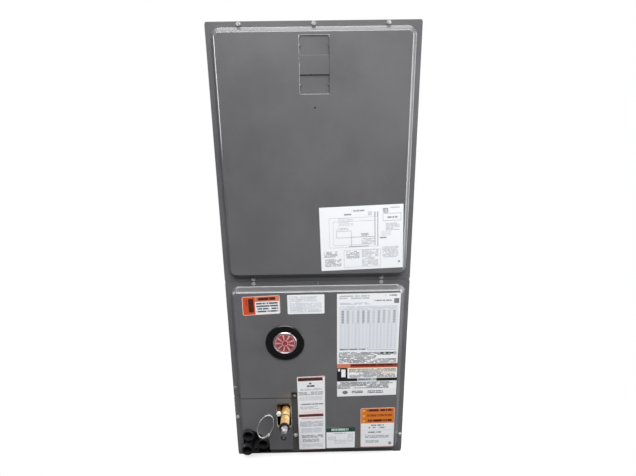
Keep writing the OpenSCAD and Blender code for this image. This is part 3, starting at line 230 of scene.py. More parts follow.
def makeFloor(s):
    bm = bmesh.new()
    bmesh.ops.create_grid(bm, x_segments=1, y_segments=1, size=s["half"])
    mesh = bpy.data.meshes.new("paleFloor")
    bm.to_mesh(mesh)
    bm.free()
    floor = bpy.data.objects.new("paleFloor", mesh)
    bpy.context.scene.collection.objects.link(floor)
    # The camera sees it pale and, away from the cabinet, plain white; what it throws back is dimmer.
    # Under the cabinet it is only lit, as seen through the cabinet's openings
    pale = Finish("paleFloor", Roughness=0.9, Specular_IOR_Level=0.0)
    seen = Value(pale, pale.add("ShaderNodeLightPath").outputs["Is Camera Ray"])
    x, y = pale.axes()[:2]
    away = (x * x + y * y).math("SQRT").ease(s["ringIn"], s["ringOut"])
    outside = 1 - (abs(x) < cabinet["insideX"]) * (abs(y) < cabinet["insideY"])
    mottle = pale.blend(pale.noise(6.0, 3.0), tone("#efefef"), tone("#f7f7f7"))
    pale.feed("Base Color", pale.blend(seen, (s["thrownBack"],) * 3, mottle))
    glow = pale.add("ShaderNodeEmission", None, {"Strength": 1.0}).outputs[0]
    share = seen * outside * (s["near"] + (s["far"] - s["near"]) * away)
    mixed = pale.add("ShaderNodeMixShader", None, {0: share, 1: pale.shader.outputs[0], 2: glow})
    pale.tree.links.new(mixed.outputs[0], pale.tree.nodes["Material Output"].inputs["Surface"])
    mesh.materials.append(pale.material)


makeCamera(viewpoint)
makeLamps(lamps)
makeSurroundings(surroundings)
makeFloor(ground)
bpy.context.scene.view_settings.view_transform = "Standard"
print("stage: camera, lamps and floor")


# Slots and seams where light and shade are painted on the enamel, in metres: the knock-outs' outline with two
# of their lower edges, which get painted highlights, and the seam between the lower panel and the connection
# plate, which gets painted shade
knockouts = {"half": 0.0308, "low": 0.9373, "high": 1.0133, "top": 1.0513, "front": -0.2895,
             "lowLine": 0.0008, "thinLine": 0.0006}
plateGapShade = {"z": 0.1901, "left": -0.215, "right": -0.073, "front": -0.27, "perMetre": 700.0}


def enamel(name, code, dark, light):
    # Baked grey enamel: cloudy tone, fine orange peel, dust specks and short scuffs, with painted highlights
    # on the knock-outs' edges and painted shade along the seam over the connection plate
    f = Finish(name, Specular_IOR_Level=0.5, Coat_Weight=1.0, Coat_Roughness=0.2, Coat_IOR=1.6)
    cloud = f.noise(5.5, 4.0, 0.6)
    stain = f.noise(22.0, 3.0, 0.7, f.moved(scale=(1.0, 1.0, 0.35)))
    base = f.blend(cloud.ease(0.3, 0.72), tone(dark), tone(light))
    base = f.blend(stain.ease(0.42, 0.8) * 0.35, base, tone(code))
    speck = (Value(f, f.cells(170.0)) < 0.075) * (f.noise(9.0, 2.0) > 0.52)
    base = f.blend(speck * 0.42, base, tone("#b4b4b4"))
    strokes = f.moved(turn=(0.3, 0.5, 0.2), scale=(6.0, 6.0, 0.8))
    scuff = (Value(f, f.cells(26.0, source=strokes)) < 0.035) * (f.noise(7.0, 1.0) > 0.55)
    base = f.blend(scuff * 0.25, base, tone("#9a9a9c"))
    # Painted highlight: bright lines along two lower edges and the left edge of the punched slots, where their
    # walls catch the light, broken up by noise
    k = knockouts
    x, y, z = f.axes()
    litSills = (abs(z - k["low"]) < k["lowLine"]).largest(abs(z - k["high"]) < k["thinLine"])
    litSills = litSills * (abs(x) < k["half"])
    litSide = (abs(x + k["half"]) < k["thinLine"]) * z.between(k["low"], k["top"])
    broken = (y < k["front"]) * (f.noise(120.0, 2.0) > 0.36)
    base = f.blend(litSills.largest(litSide) * broken * 0.75, base, tone("#d9dadb"))
    # Painted shade: a near black line along the seam over the connection plate, under the lower panel's edge
    g = plateGapShade
    gapShade = 1 - (abs(z - g["z"]) * g["perMetre"]).clamped()
    gapShade = gapShade * x.between(g["left"], g["right"]) * (y < g["front"])
    base = f.blend(gapShade.power(0.6) * 0.95, base, tone("#161617"))
    f.feed("Base Color", base)
    f.feed("Roughness", 0.4 + 0.1 * stain + 0.06 * cloud)
    peel = f.noise(420.0, 2.0, 0.5)
    dents = f.noise(7.0, 1.0)
    f.feed("Normal", f.bump(peel, 0.12, 0.0006, f.bump(dents, 0.3, 0.0012)))
    return f.material


def galvanisedSheet(name, pale, dull, flake=110.0):
    # Zinc flowers of several greys with a faint dull film
    f = Finish(name, Metallic=0.9)
    flowers = f.add("ShaderNodeSeparateColor", None, {"Color": f.cells(flake, output="Color")})
    grey = Value(f, flowers.outputs[0])
    film = f.noise(14.0, 4.0, 0.65)
    f.feed("Base Color", f.blend((0.55 * grey + 0.5 * film).clamped(), tone(dull), tone(pale)))
    f.feed("Roughness", 0.3 + 0.14 * grey + 0.12 * film)
    f.feed("Normal", f.bump(grey, 0.08, 0.0004, f.bump(f.noise(6.0, 1.0), 0.25, 0.001)))
    return f.material


# Painted shade on the hardware: darker left of and below these, in metres
shadedCorner = {"leftOf": -0.15, "below": 0.4}


def platedSteel(name, pale, dull, metal=0.6):
    # Zinc plate on small hardware: bright, finely grained, dull in patches, with painted shade at the lower
    # left where the screws sit in the shadow of the raised panels
    f = Finish(name, Metallic=metal)
    patch = f.noise(260.0, 3.0, 0.6)
    x, z = f.axes()[::2]
    cornerShade = (x < shadedCorner["leftOf"]) * (z < shadedCorner["below"])
    zinc = f.blend(patch.ease(0.35, 0.7), tone(dull), tone(pale))
    f.feed("Base Color", f.blend(cornerShade * 0.6, zinc, tone("#6d6e70")))
    f.feed("Roughness", 0.2 + 0.22 * patch)
    f.feed("Normal", f.bump(f.noise(900.0, 2.0), 0.1, 0.0002))
    return f.material


def foilFacing(name):
    # Foil over fibre board: creases, a woven scrim and bright patches
    f = Finish(name, Metallic=0.85)
    threads = [abs((axis * 80.0).fract() - 0.5) > 0.45 for axis in f.axes()[::2]]
    weave = threads[0].largest(threads[1])
    crease = Value(f, f.cells(24.0, "DISTANCE_TO_EDGE", source=f.moved(scale=(1.0, 1.0, 0.7))))
    waves = f.noise(30.0, 4.0, 0.6)
    f.feed("Base Color", f.blend(waves.ease(0.3, 0.7), tone("#a9acaf"), tone("#d6d8da")))
    f.feed("Roughness", 0.28 + 0.2 * waves)
    height = 0.6 * crease.ease(0.0, 0.03) + 0.4 * waves + 0.25 * weave
    f.feed("Normal", f.bump(height, 0.2, 0.0012))
    return f.material


def mouldedPlastic(name, code, worn, gloss=0.45, grain=700.0):
    # Moulded plastic with a fine eroded grain, flow marks and some dust
    f = Finish(name, Specular_IOR_Level=0.45)
    dust = f.noise(60.0, 4.0, 0.7)
    flow = f.noise(12.0, 2.0, 0.5, f.moved(scale=(1.0, 1.0, 3.0)))
    wear = (dust.ease(0.5, 0.85) * 0.6 + 0.25 * flow).clamped()
    f.feed("Base Color", f.blend(wear, tone(code), tone(worn)))
    f.feed("Roughness", gloss + 0.18 * dust)
    f.feed("Normal", f.bump(f.noise(grain, 2.0), 0.25, 0.0003))
    return f.material


def drawnCopper(name, bright, brown, metal=1.0, tintAndShadeRings=()):
    # Drawn tube: fine lengthwise lines, brown tarnish in patches, and dark rings along y, from brazing and
    # from painted shade
    f = Finish(name, Metallic=metal)
    tarnish = f.noise(38.0, 5.0, 0.65)
    lines = f.noise(500.0, 2.0, 0.5, f.moved(scale=(1.0, 0.04, 0.2)))
    base = f.blend(tarnish.ease(0.38, 0.75), tone(bright), tone(brown))
    for at, half in tintAndShadeRings:   # along y
        ring = (1 - abs(f.axes()[1] - at) / half).clamped()
        base = f.blend(ring.power(0.6) * 0.9, base, tone("#3d1f12"))
    f.feed("Base Color", base)
    f.feed("Roughness", 0.2 + 0.18 * tarnish + 0.08 * lines)
    f.feed("Normal", f.bump(lines, 0.1, 0.0002))
    return f.material


def finStock(name):
    # Bare fins: bright edges with dust between
    f = Finish(name, Metallic=0.85)
    dust = f.noise(45.0, 4.0, 0.7)
    f.feed("Base Color", f.blend(dust.ease(0.4, 0.8), tone("#c2c5c8"), tone("#8d9092")))
    f.feed("Roughness", 0.34 + 0.2 * dust)
    f.feed("Normal", f.bump(f.noise(300.0, 2.0, 0.5, f.moved(scale=(1.0, 4.0, 0.5))), 0.2, 0.0004))
    return f.material


def softRubber(name, code):
    # Matt rubber with a grey bloom
    f = Finish(name, Specular_IOR_Level=0.3)
    bloom = f.noise(120.0, 4.0, 0.7)
    f.feed("Base Color", f.blend(bloom.ease(0.45, 0.8), tone(code), tone("#38383a")))
    f.feed("Roughness", 0.6 + 0.15 * bloom)
    f.feed("Normal", f.bump(f.noise(800.0), 0.2, 0.0002))
    return f.material


def clearNylon(name):
    # Milky strap with fine teeth
    f = Finish(name, Transmission_Weight=0.6, IOR=1.53)
    milk = f.noise(90.0, 2.0)
    teeth = abs((f.axes()[2] * 900.0).fract() - 0.5)
    f.feed("Base Color", f.blend(milk, tone("#e9ece9"), tone("#fbfcfa")))
    f.feed("Roughness", 0.18 + 0.1 * milk)
    f.feed("Normal", f.bump(teeth, 0.2, 0.0002))
    return f.material


badge = {"x": -0.0825, "z": 0.3518, "rimIn": 0.0262, "spokes": 9, "spokeIn": 0.0095, "spokeOut": 0.0225,
         "rings": [(0.0065, 0.0080), (0.0235, 0.0245)]}


def badgeFace(name):
    # Dark red disc inside a silver rim, with plain paler spokes in place of any mark
    f = Finish(name, Specular_IOR_Level=0.5, Coat_Weight=0.4, Coat_Roughness=0.08)
    x, z = f.axes()[::2]
    dx, dz = x - badge["x"], z - badge["z"]
    radius = (dx * dx + dz * dz).math("SQRT")
    angle = dz.math("ARCTAN2", dx)
    rim = radius > badge["rimIn"]
    spokes = abs((angle * (badge["spokes"] / math.tau)).fract() - 0.5) < 0.16
    spokes = spokes * radius.between(badge["spokeIn"], badge["spokeOut"])
    inner, outer = [radius.between(*ring) for ring in badge["rings"]]
    rings = inner.largest(outer)
    smear = f.noise(160.0, 3.0, 0.6)
    face = f.blend(smear.ease(0.35, 0.75), tone("#8f2a33"), tone("#a8525a"))
    face = f.blend((spokes * 0.75).largest(rings * 0.9), face, tone("#d9b7b9"))
    f.feed("Base Color", f.blend(rim, face, tone("#d8d4d4")))
    f.feed("Metallic", rim * 0.9)
    f.feed("Roughness", 0.24 + 0.1 * smear)
    f.feed("Normal", f.bump(spokes.largest(rings), 0.3, 0.0003))
    return f.material


edgeStrip = {"creamBelow": 0.170, "shadedAbove": 0.186}


def gaskets(name):
    # Edge strip round the tubes: cream with brown stains lower down, and painted shade towards the top, where
    # the opening's upper edge shades it
    f = Finish(name, Specular_IOR_Level=0.4)
    z = f.axes()[2]
    stain = f.noise(150.0, 4.0, 0.7)
    worn = f.blend(stain.ease(0.42, 0.66), tone("#c9bfa6"), tone("#5b4736"))
    # Painted shade: near black above this height
    dark = (z + 0.02 * stain).ease(edgeStrip["creamBelow"], edgeStrip["shadedAbove"])
    f.feed("Base Color", f.blend(dark, worn, tone("#1f1c19")))
    f.feed("Roughness", 0.5 + 0.15 * stain)
    f.feed("Normal", f.bump(f.noise(500.0), 0.2, 0.0003))
    return f.material


board = {"faceY": -0.18925, "relayY": -0.192, "relayZ": 0.9765}


def relayBoard(name):
    # Green board with lighter tracks; of what stands in front of it the relays are dark, the rest white
    f = Finish(name, Specular_IOR_Level=0.5)
    y, z = f.axes()[1:]
    net = f.cells(260.0, "DISTANCE_TO_EDGE", source=f.moved(scale=(1.0, 0.2, 0.6)))
    tracks = Value(f, net) < 0.08
    laid = f.blend(tracks * 0.8, tone("#2c5a3a"), tone("#5d8f5f"))
    relays = (z > board["relayZ"]) * (y < board["relayY"])
    parts = f.blend(relays, tone("#e3e1d8"), tone("#1d1d20"))
    f.feed("Base Color", f.blend(y < board["faceY"], laid, parts))
    f.feed("Roughness", 0.35 + 0.25 * f.noise(200.0, 3.0))
    f.feed("Normal", f.bump(tracks, 0.3, 0.0003))
    return f.material


winding = {"across": (0.1035, 0.1325), "up": (0.9405, 0.9645)}


def woundTransformer(name):
    # Stacked laminations and a yellow-taped winding
    f = Finish(name, Specular_IOR_Level=0.5)
    x, y, z = f.axes()
    plates = abs((y * 1600.0).fract() - 0.5)
    dirt = f.noise(80.0, 4.0, 0.6)
    tape = x.between(*winding["across"]) * z.between(*winding["up"])
    steel = f.blend(dirt, tone("#3a3836"), tone("#67625c"))
    f.feed("Base Color", f.blend(tape, steel, tone("#b99a4e")))
    f.feed("Metallic", 0.5 * (1 - tape))
    f.feed("Roughness", 0.4 + 0.2 * dirt)
    f.feed("Normal", f.bump(plates * (1 - tape), 0.4, 0.0004))
    return f.material


screwRow = {"up": (1.0082, 1.0168), "front": -0.1838}


def terminalStrip(name):
    # Dusty black block with a row of brass screws
    f = Finish(name, Specular_IOR_Level=0.5)
    y, z = f.axes()[1:]
    screws = z.between(*screwRow["up"]) * (y < screwRow["front"])
    dust = f.noise(150.0, 3.0)
    block = f.blend(dust, tone("#1b1b1e"), tone("#3a3a3d"))
    f.feed("Base Color", f.blend(screws, block, tone("#c9a44c")))
    f.feed("Metallic", screws * 0.9)
    f.feed("Roughness", 0.35 + 0.2 * dust)
    f.feed("Normal", f.bump(f.noise(600.0), 0.2, 0.0002))
    return f.material


# The first ring, by the plate, is partly heat tint and partly painted shade from the opening's upper edge
stubRings = [(-0.286, 0.014), (-0.321, 0.003), (-0.353, 0.004)]   # middle and half width, along y
finishes = {
    "paint": enamel("greyEnamel", "#656568", "#5b5b5e", "#676769"),
    "sheet": galvanisedSheet("galvanisedSheet", "#b9bdc0", "#7f8487"),
    "wheelSheet": galvanisedSheet("wheelSheet", "#aeb2b5", "#74797c", 160.0),
    "plated": platedSteel("zincPlate", "#e4e5e5", "#b3b6b8"),
    # A lighter copy of the zinc plate, as painted light, for the screws beside the connection plate, which
    # stand in shade
    "bright": platedSteel("zincPaintedLit", "#fbfbf8", "#e2e3e2", 0.1),
    "nickel": platedSteel("dullNickel", "#b4b1b5", "#79767b"),
    "foil": foilFacing("foilFacing"),
    "pan": mouldedPlastic("panPlastic", "#0e0e10", "#3c3c3f", 0.42),
    "ring": mouldedPlastic("badgeBlack", "#08080a", "#18181b", 0.2, 900.0),
    "darkPlastic": mouldedPlastic("darkPlastic", "#1a1a1d", "#3b3b3e", 0.35),
    "whiteCap": mouldedPlastic("whiteCap", "#dcdcd8", "#a8a8a2", 0.4),
    "copper": drawnCopper("drawnCopper", "#d79a68", "#8f5a37"),
    "stub": drawnCopper("brightStub", "#d6bd88", "#a3723c", 0.1, stubRings),
    "brass": drawnCopper("turnedBrass", "#d8b46a", "#9c7a3c"),
    "fins": finStock("finStock"),
    "rubber": softRubber("softRubber", "#131315"),
    "nylon": clearNylon("clearNylon"),
    "edge": gaskets("edgeStrip"),
    "badgeFace": badgeFace("badgeFace"),
    "motor": mouldedPlastic("motorEnamel", "#2d3035", "#4c5056", 0.35),
    "board": relayBoard("relayBoard"),
    "transformer": woundTransformer("transformerIron"),
    "terminals": terminalStrip("terminalStrip"),
}

dressed = {
    "paint": ["cabinet_wrap", "top_frame", "upper_panel", "lower_panel", "connection_plate",
              "heater_cover"],
    "sheet": ["bottom_frame", "centre_rail", "blower_deck", "plate_frame", "pan_rails", "coil_end_plates",
              "coil_cap", "scroll_wrap", "scroll_sides", "inlet_rings", "cutoff_plate", "belly_band",
              "capacitor_strap", "control_panel"],
    "wheelSheet": ["wheel_blades", "wheel_rings", "wheel_disc"],
    "plated": ["upper_panel_screws", "lower_panel_screws", "frame_screws", "wheel_hub", "motor_shaft",
               "run_capacitor"],
    "bright": ["plate_screws"],
    "nickel": ["access_valve"],
    "foil": ["side_liners", "back_liner", "upper_panel_board", "lower_panel_board"],
    "pan": ["drain_pan", "drain_ports", "side_tray"],
    "ring": ["badge_ring"],
    "badgeFace": ["badge_disc"],
    "darkPlastic": ["valve_cap"],
    "whiteCap": ["liquid_cap"],
    "copper": ["return_bends", "liquid_line"],
    "stub": ["suction_line"],
    "brass": ["distributor", "ground_lug"],
    "fins": ["coil_slabs"],
    "rubber": ["suction_plug", "wire_grommet"],
    "nylon": ["tie_loop"],
    "edge": ["line_gasket"],
    "motor": ["blower_motor"],
    "board": ["control_board"],
    "transformer": ["transformer"],
    "terminals": ["terminal_block"],
}
for finish, names in dressed.items():
    for name in names:
        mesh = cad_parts[name].data
        mesh.materials.clear()
        mesh.materials.append(finishes[finish])
bare = set(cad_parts) - {n for names in dressed.values() for n in names}
print("stage: finishes on the nodes, bare:", sorted(bare))


# Shades of the printing
ink = {"black": "#1b1b1e", "dark": "#55565a", "grey": "#77797d", "mid": "#96989d",
       "paleGrey": "#b6b9bf", "faint": "#cccfd6", "mist": "#dfe2e9", "white": "#f4f5f6",
       "brown": "#4a2119", "maroon": "#643038", "rust": "#a5462f", "orange": "#cf5029",
       "coral": "#d77f62", "amber": "#dc7a26", "amberPale": "#e9ae74", "green": "#1f4436",
       "leaf": "#b9d3c9", "cream": "#f4e4cc", "pink": "#e2b9b4", "blush": "#f2e2e0"}
ink = {name: tone(code) for name, code in ink.items()}
# Corners from the top left round to the bottom left, across and up in millimetres. What is printed:
# kind, left, right, top, bottom, count and shade, in shares of the sheet from its top left corner;
# a blob has its centre, width and height instead
stickers = {
    "wiringSheet": {
        "panel": "upper_door", "corners": [(5.7, 692.6), (196.0, 699.2), (200.6, 546.4), (9.9, 540.0)],
        "round": 1,
        "print": [("rows", 0.386, 0.535, 0.055, 0.092, 1, "mid"),
                  ("rows", 0.84, 0.955, 0.035, 0.060, 1, "paleGrey"),
                  ("block", 0.294, 0.380, 0.113, 0.137, 0, "mid"),
                  ("text", 0.575, 0.630, 0.090, 0.155, 0, "paleGrey"),
                  ("text", 0.755, 0.820, 0.050, 0.125, 0, "grey"),
                  ("frame", 0.755, 0.975, 0.130, 0.250, 0, "paleGrey"),
                  ("rows", 0.81, 0.93, 0.175, 0.218, 1, "mid"),
                  ("text", 0.79, 0.955, 0.28, 0.40, 0, "paleGrey"),
                  ("block", 0.735, 0.855, 0.40, 0.48, 0, "mist"),
                  ("block", 0.72, 0.80, 0.495, 0.518, 0, "mid"),
                  ("frame", 0.109, 0.700, 0.17, 0.64, 0, "faint"),
                  ("frame", 0.159, 0.667, 0.225, 0.605, 0, "faint"),
                  ("frame", 0.194, 0.379, 0.375, 0.486, 0, "paleGrey"),
                  ("block", 0.379, 0.660, 0.476, 0.484, 0, "mid"),
                  ("block", 0.372, 0.380, 0.486, 0.630, 0, "paleGrey"),
                  ("block", 0.344, 0.585, 0.622, 0.635, 0, "mid"),
                  ("block", 0.655, 0.668, 0.095, 0.620, 0, "paleGrey"),
                  ("block", 0.688, 0.701, 0.095, 0.640, 0, "paleGrey"),
                  ("block", 0.656, 0.667, 0.100, 0.170, 0, "mid"),
                  ("block", 0.689, 0.700, 0.110, 0.168, 0, "mid"),
                  ("text", 0.22, 0.40, 0.17, 0.30, 0, "faint"),
                  ("text", 0.20, 0.34, 0.325, 0.365, 0, "paleGrey"),
                  ("text", 0.49, 0.585, 0.42, 0.475, 0, "mid"),
                  ("text", 0.50, 0.66, 0.50, 0.60, 0, "paleGrey"),
                  ("text", 0.75, 0.945, 0.65, 0.83, 0, "paleGrey"),
                  ("text", 0.04, 0.20, 0.69, 0.79, 0, "mid"),
                  ("text", 0.05, 0.245, 0.815, 0.94, 0, "mid"),
                  ("frame", 0.28, 0.73, 0.68, 0.965, 0, "faint"),
                  ("text", 0.31, 0.47, 0.70, 0.82, 0, "mid"),
                  ("text", 0.50, 0.70, 0.68, 0.95, 0, "paleGrey"),
                  ("blob", 0.955, 0.90, 0.030, 0.037, 0, "mid")]},
    "cautionSmall": {
        "panel": "lower_door",
        "corners": [(-182.2, 476.8), (-91.0, 480.4), (-90.8, 431.4), (-181.8, 427.0)],
        "round": 4, "border": ("pink", 0.02),
        "print": [("block", 0.0, 0.34, 0.0, 1.0, 0, "orange"),
                  ("block", 0.34, 1.0, 0.0, 0.30, 0, "coral"),
                  ("block", 0.09, 0.14, 0.13, 0.50, 0, "rust"),
                  ("block", 0.165, 0.30, 0.12, 0.84, 0, "brown"),
                  ("rows", 0.40, 0.88, 0.045, 0.295, 1, "brown"),
                  ("rows", 0.37, 0.945, 0.335, 0.895, 4, "dark")]},
    "plainNotice": {
        "panel": "lower_door", "corners": [(-73.4, 479.8), (15.8, 480.4), (15.8, 429.8), (-73.2, 429.2)],
        "round": 2,
        "print": [("text", 0.04, 0.80, 0.07, 0.36, 0, "faint"),
                  ("text", 0.06, 0.92, 0.42, 0.93, 0, "faint"),
                  ("text", 0.22, 0.40, 0.10, 0.85, 0, "faint"),
                  ("text", 0.44, 0.74, 0.12, 0.36, 0, "faint"),
                  ("text", 0.10, 0.90, 0.78, 0.93, 0, "faint")]},
    "dataPlate": {
        "panel": "lower_door", "corners": [(46.0, 480.7), (199.4, 481.0), (198.0, 194.6), (46.2, 191.7)],
        "round": 1,
        "print": [("block", 0.03, 0.97, 0.115, 0.523, 0, "mist"),
                  ("rows", 0.04, 0.51, 0.014, 0.052, 2, "paleGrey"),
                  ("rows", 0.76, 0.94, 0.010, 0.032, 1, "mid"),
                  ("rows", 0.585, 0.86, 0.057, 0.076, 1, "grey"),
                  ("block", 0.897, 0.977, 0.049, 0.093, 0, "mid"),
                  ("text", 0.897, 0.977, 0.049, 0.093, 0, "dark"),
                  ("text", 0.05, 0.53, 0.082, 0.102, 0, "paleGrey"),
                  ("text", 0.08, 0.95, 0.112, 0.150, 0, "faint"),
                  ("strokes", 0.05, 0.95, 0.155, 0.275, 11, "mid"),
                  ("strokes", 0.04, 0.96, 0.275, 0.520, 16, "faint"),
                  ("rows", 0.04, 0.50, 0.515, 0.535, 1, "grey"),
                  ("block", 0.50, 0.97, 0.529, 0.534, 0, "mid"),
                  ("text", 0.03, 0.97, 0.552, 0.662, 0, "dark"),
                  ("block", 0.64, 0.97, 0.585, 0.615, 0, "white"),
                  ("rows", 0.71, 0.925, 0.553, 0.580, 1, "black"),
                  ("block", 0.0, 1.0, 0.667, 0.707, 0, "rust"),
                  ("block", 0.0, 0.22, 0.667, 0.707, 0, "coral"),
                  ("rows", 0.22, 0.965, 0.669, 0.697, 1, "brown"),
                  ("block", 0.0, 0.172, 0.707, 0.813, 0, "black"),
                  ("block", 0.07, 0.14, 0.722, 0.80, 0, "white"),
                  ("block", 0.015, 0.05, 0.715, 0.74, 0, "white"),
                  ("block", 0.19, 0.98, 0.708, 0.737, 0, "cream"),
                  ("text", 0.20, 0.97, 0.717, 0.808, 0, "grey"),
                  ("block", 0.20, 0.36, 0.757, 0.779, 0, "white"),
                  ("block", 0.74, 0.96, 0.748, 0.768, 0, "cream"),
                  ("block", 0.0, 1.0, 0.813, 0.843, 0, "black"),
                  ("block", 0.335, 0.653, 0.813, 0.843, 0, "faint"),
                  ("rows", 0.35, 0.64, 0.812, 0.842, 1, "grey"),
                  ("text", 0.01, 0.93, 0.850, 0.920, 0, "dark"),
                  ("block", 0.86, 1.0, 0.872, 0.925, 0, "white"),
                  ("blob", 0.135, 0.958, 0.09, 0.036, 0, "grey"),
                  ("rows", 0.246, 0.433, 0.940, 0.970, 2, "dark"),
                  ("rows", 0.513, 0.78, 0.940, 0.972, 2, "dark")]},
    "tallNotice": {
        "panel": "lower_door", "corners": [(-56.0, 252.4), (15.2, 254.6), (14.8, 27.8), (-55.4, 26.8)],
        "round": 3, "border": ("blush", 0.014),
        "print": [("block", 0.0, 1.0, 0.0, 0.014, 0, "pink"),
                  ("block", 0.035, 0.916, 0.016, 0.058, 0, "brown"),
                  ("rows", 0.40, 0.88, 0.026, 0.046, 1, "maroon"),
                  ("block", 0.43, 0.51, 0.080, 0.104, 0, "dark"),
                  ("rows", 0.32, 0.62, 0.108, 0.148, 1, "dark"),
                  ("text", 0.10, 0.88, 0.157, 0.186, 0, "paleGrey"),
                  ("text", 0.04, 0.92, 0.20, 0.248, 0, "mid"),
                  ("text", 0.06, 0.90, 0.262, 0.319, 0, "faint"),
                  ("rows", 0.10, 0.92, 0.354, 0.386, 1, "mid"),
                  ("text", 0.07, 0.78, 0.397, 0.440, 0, "paleGrey"),
                  ("block", 0.03, 0.93, 0.455, 0.500, 0, "blush"),
                  ("block", 0.03, 0.927, 0.504, 0.541, 0, "maroon"),
                  ("rows", 0.12, 0.90, 0.550, 0.580, 1, "pink"),
                  ("block", 0.05, 0.92, 0.603, 0.680, 0, "mist"),
                  ("text", 0.05, 0.92, 0.603, 0.680, 0, "paleGrey"),
                  ("block", 0.10, 0.86, 0.698, 0.766, 0, "mist"),
                  ("text", 0.10, 0.86, 0.698, 0.766, 0, "faint"),
                  ("text", 0.12, 0.90, 0.795, 0.839, 0, "grey"),
                  ("text", 0.14, 0.76, 0.853, 0.900, 0, "mid"),
                  ("text", 0.14, 0.88, 0.920, 0.972, 0, "faint")]},
    "greenNotice": {
        "panel": "lower_door", "corners": [(17.6, 94.4), (93.4, 95.4), (93.3, 30.6), (17.9, 29.6)],
        "round": 1,
        "print": [("block", 0.0, 1.0, 0.0, 0.21, 0, "green"),
                  ("rows", 0.18, 0.77, 0.01, 0.19, 1, "leaf"),
                  ("text", 0.28, 0.68, 0.26, 0.32, 0, "paleGrey"),
                  ("text", 0.05, 0.34, 0.42, 0.62, 0, "faint"),
                  ("text", 0.28, 0.72, 0.60, 0.80, 0, "faint"),
                  ("text", 0.74, 0.94, 0.30, 0.72, 0, "faint")]},
    "amberNotice": {
        "panel": "lower_door", "corners": [(107.4, 154.4), (197.5, 155.6), (197.1, 31.2), (108.6, 30.8)],
        "round": 4, "border": ("pink", 0.018),
        "print": [("block", 0.0, 1.0, 0.0, 0.385, 0, "amber"),
                  ("rows", 0.19, 0.93, 0.018, 0.108, 1, "brown"),
                  ("rows", 0.19, 0.92, 0.147, 0.237, 1, "rust"),
                  ("rows", 0.21, 0.91, 0.275, 0.368, 1, "brown"),
                  ("blob", 0.093, 0.070, 0.080, 0.058, 0, "amberPale"),
                  ("blob", 0.093, 0.200, 0.080, 0.058, 0, "amberPale"),
                  ("blob", 0.093, 0.330, 0.080, 0.058, 0, "amberPale"),
                  ("rows", 0.31, 0.685, 0.414, 0.466, 1, "grey"),
                  ("rows", 0.238, 0.733, 0.472, 0.528, 1, "mid"),
                  ("block", 0.02, 0.98, 0.562, 0.568, 0, "faint"),
                  ("rows", 0.226, 0.600, 0.592, 0.650, 1, "grey"),
                  ("block", 0.02, 0.98, 0.677, 0.683, 0, "faint"),
                  ("rows", 0.141, 0.854, 0.700, 0.772, 2, "mid"),
                  ("rows", 0.153, 0.540, 0.826, 0.896, 2, "mid"),
                  ("blob", 0.873, 0.914, 0.10, 0.080, 0, "mid")]},
}
# In metres: thickness, space under the film, width of a letter, line pitch of small print and of figures.
# In shares: the inked part of a line, blanks among words and letters, and a frame's line
film = {"thick": 0.00018, "off": 0.00002, "letter": 0.0014, "pitch": 0.0032, "figures": 0.0042,
        "inked": (0.16, 0.76), "wordGap": {"rows": 0.03, "text": 0.1}, "letterGap": 0.13,
        "frameAcross": 0.006, "frameDown": 0.009}


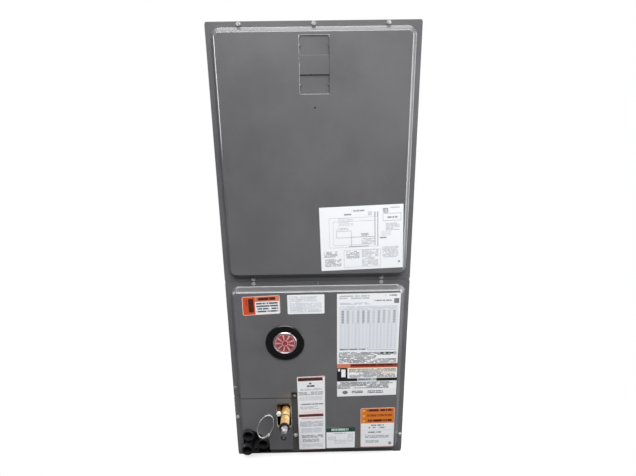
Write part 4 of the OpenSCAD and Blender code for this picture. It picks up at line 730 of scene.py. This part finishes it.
def printedFilm(name, s, width, height):
    # White film with ruled lines and colour blocks; the UV map runs 0 to 1 from the top left
    f = Finish(name, Specular_IOR_Level=0.5)
    across, down = f.axes(f.add("ShaderNodeUVMap", {"uv_map": "sheet"}).outputs[0])[:2]
    letters = width / film["letter"]
    wave = f.noise(30.0, 3.0)
    colour = f.blend(wave * 0.5, tone("#ebedf1"), ink["white"])
    for kind, left, right, top, low, count, shade in s["print"]:
        if kind == "blob":   # centre and size
            dx, dy = (across - left) * (2 / top), (down - right) * (2 / low)
            mask = dx * dx + dy * dy < 1.0
        else:
            mask = across.between(left, right) * down.between(top, low)
        if kind in ("rows", "text"):   # broken ruled lines, those of text at the pitch of small print
            lines = count if kind == "rows" else max(1, round((low - top) * height / film["pitch"]))
            line = (down - top) * (lines / (low - top))
            inLine = line.fract().between(*film["inked"])
            word = f.chance((across * (letters / 6)).floor(), line.floor(), left) > film["wordGap"][kind]
            mark = f.chance((across * letters).floor(), line.floor(), top) > film["letterGap"]
            mask = mask * inLine * word * mark
        elif kind == "frame":
            a, d = film["frameAcross"], film["frameDown"]
            mask = mask * (1 - across.between(left + a, right - a) * down.between(top + d, low - d))
        elif kind == "strokes":   # columns of figures, some fainter than others
            column = (across - left) * (count / (right - left))
            line = (down - top) * (height / film["figures"])
            weight = f.chance(column.floor(), top)
            figures = column.fract().between(0.25, 0.75) * (line.fract() < 0.78)
            mask = mask * figures * (0.25 + 0.75 * weight)
        colour = f.blend(mask, colour, ink[shade])
    if "border" in s:
        shade, share = s["border"]
        ratio = width / height
        inner = across.between(share, 1 - share) * down.between(share * ratio, 1 - share * ratio)
        colour = f.blend(1 - inner, colour, ink[shade])
    f.feed("Base Color", colour)
    f.feed("Roughness", 0.3 + 0.15 * wave)
    f.feed("Normal", f.bump(f.noise(16.0, 2.0), 0.2, 0.0006))
    return f.material


def makeSticker(name, s):
    y = cabinet["faceY"] - film["off"]
    corners = [Vector((x / 1000, y, z / 1000)) for x, z in s["corners"]]
    bm = bmesh.new()
    face = bm.faces.new([bm.verts.new(c) for c in corners])
    bmesh.ops.bevel(bm, geom=list(face.verts), affect="VERTICES", offset=s["round"] / 1000, segments=4,
                    profile=0.5, material=-1)
    raised = bmesh.ops.extrude_face_region(bm, geom=bm.faces[:])
    front = [v for v in raised["geom"] if isinstance(v, bmesh.types.BMVert)]
    bmesh.ops.translate(bm, vec=(0, -film["thick"], 0), verts=front)
    bmesh.ops.recalc_face_normals(bm, faces=bm.faces[:])
    sheet = bm.loops.layers.uv.new("sheet")
    right, below = corners[1] - corners[0], corners[3] - corners[0]
    area = right.x * below.z - right.z * below.x
    for f in bm.faces:
        for loop in f.loops:
            off = loop.vert.co - corners[0]
            loop[sheet].uv = ((off.x * below.z - off.z * below.x) / area,
                              (right.x * off.z - right.z * off.x) / area)
    mesh = bpy.data.meshes.new(name)
    bm.to_mesh(mesh)
    bm.free()
    mesh.materials.append(printedFilm(name, s, right.length, below.length))
    item = bpy.data.objects.new(name, mesh)
    bpy.context.scene.collection.objects.link(item)
    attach(item, s["panel"])


for name, sticker in stickers.items():
    makeSticker(name, sticker)
print("stage: stickers")
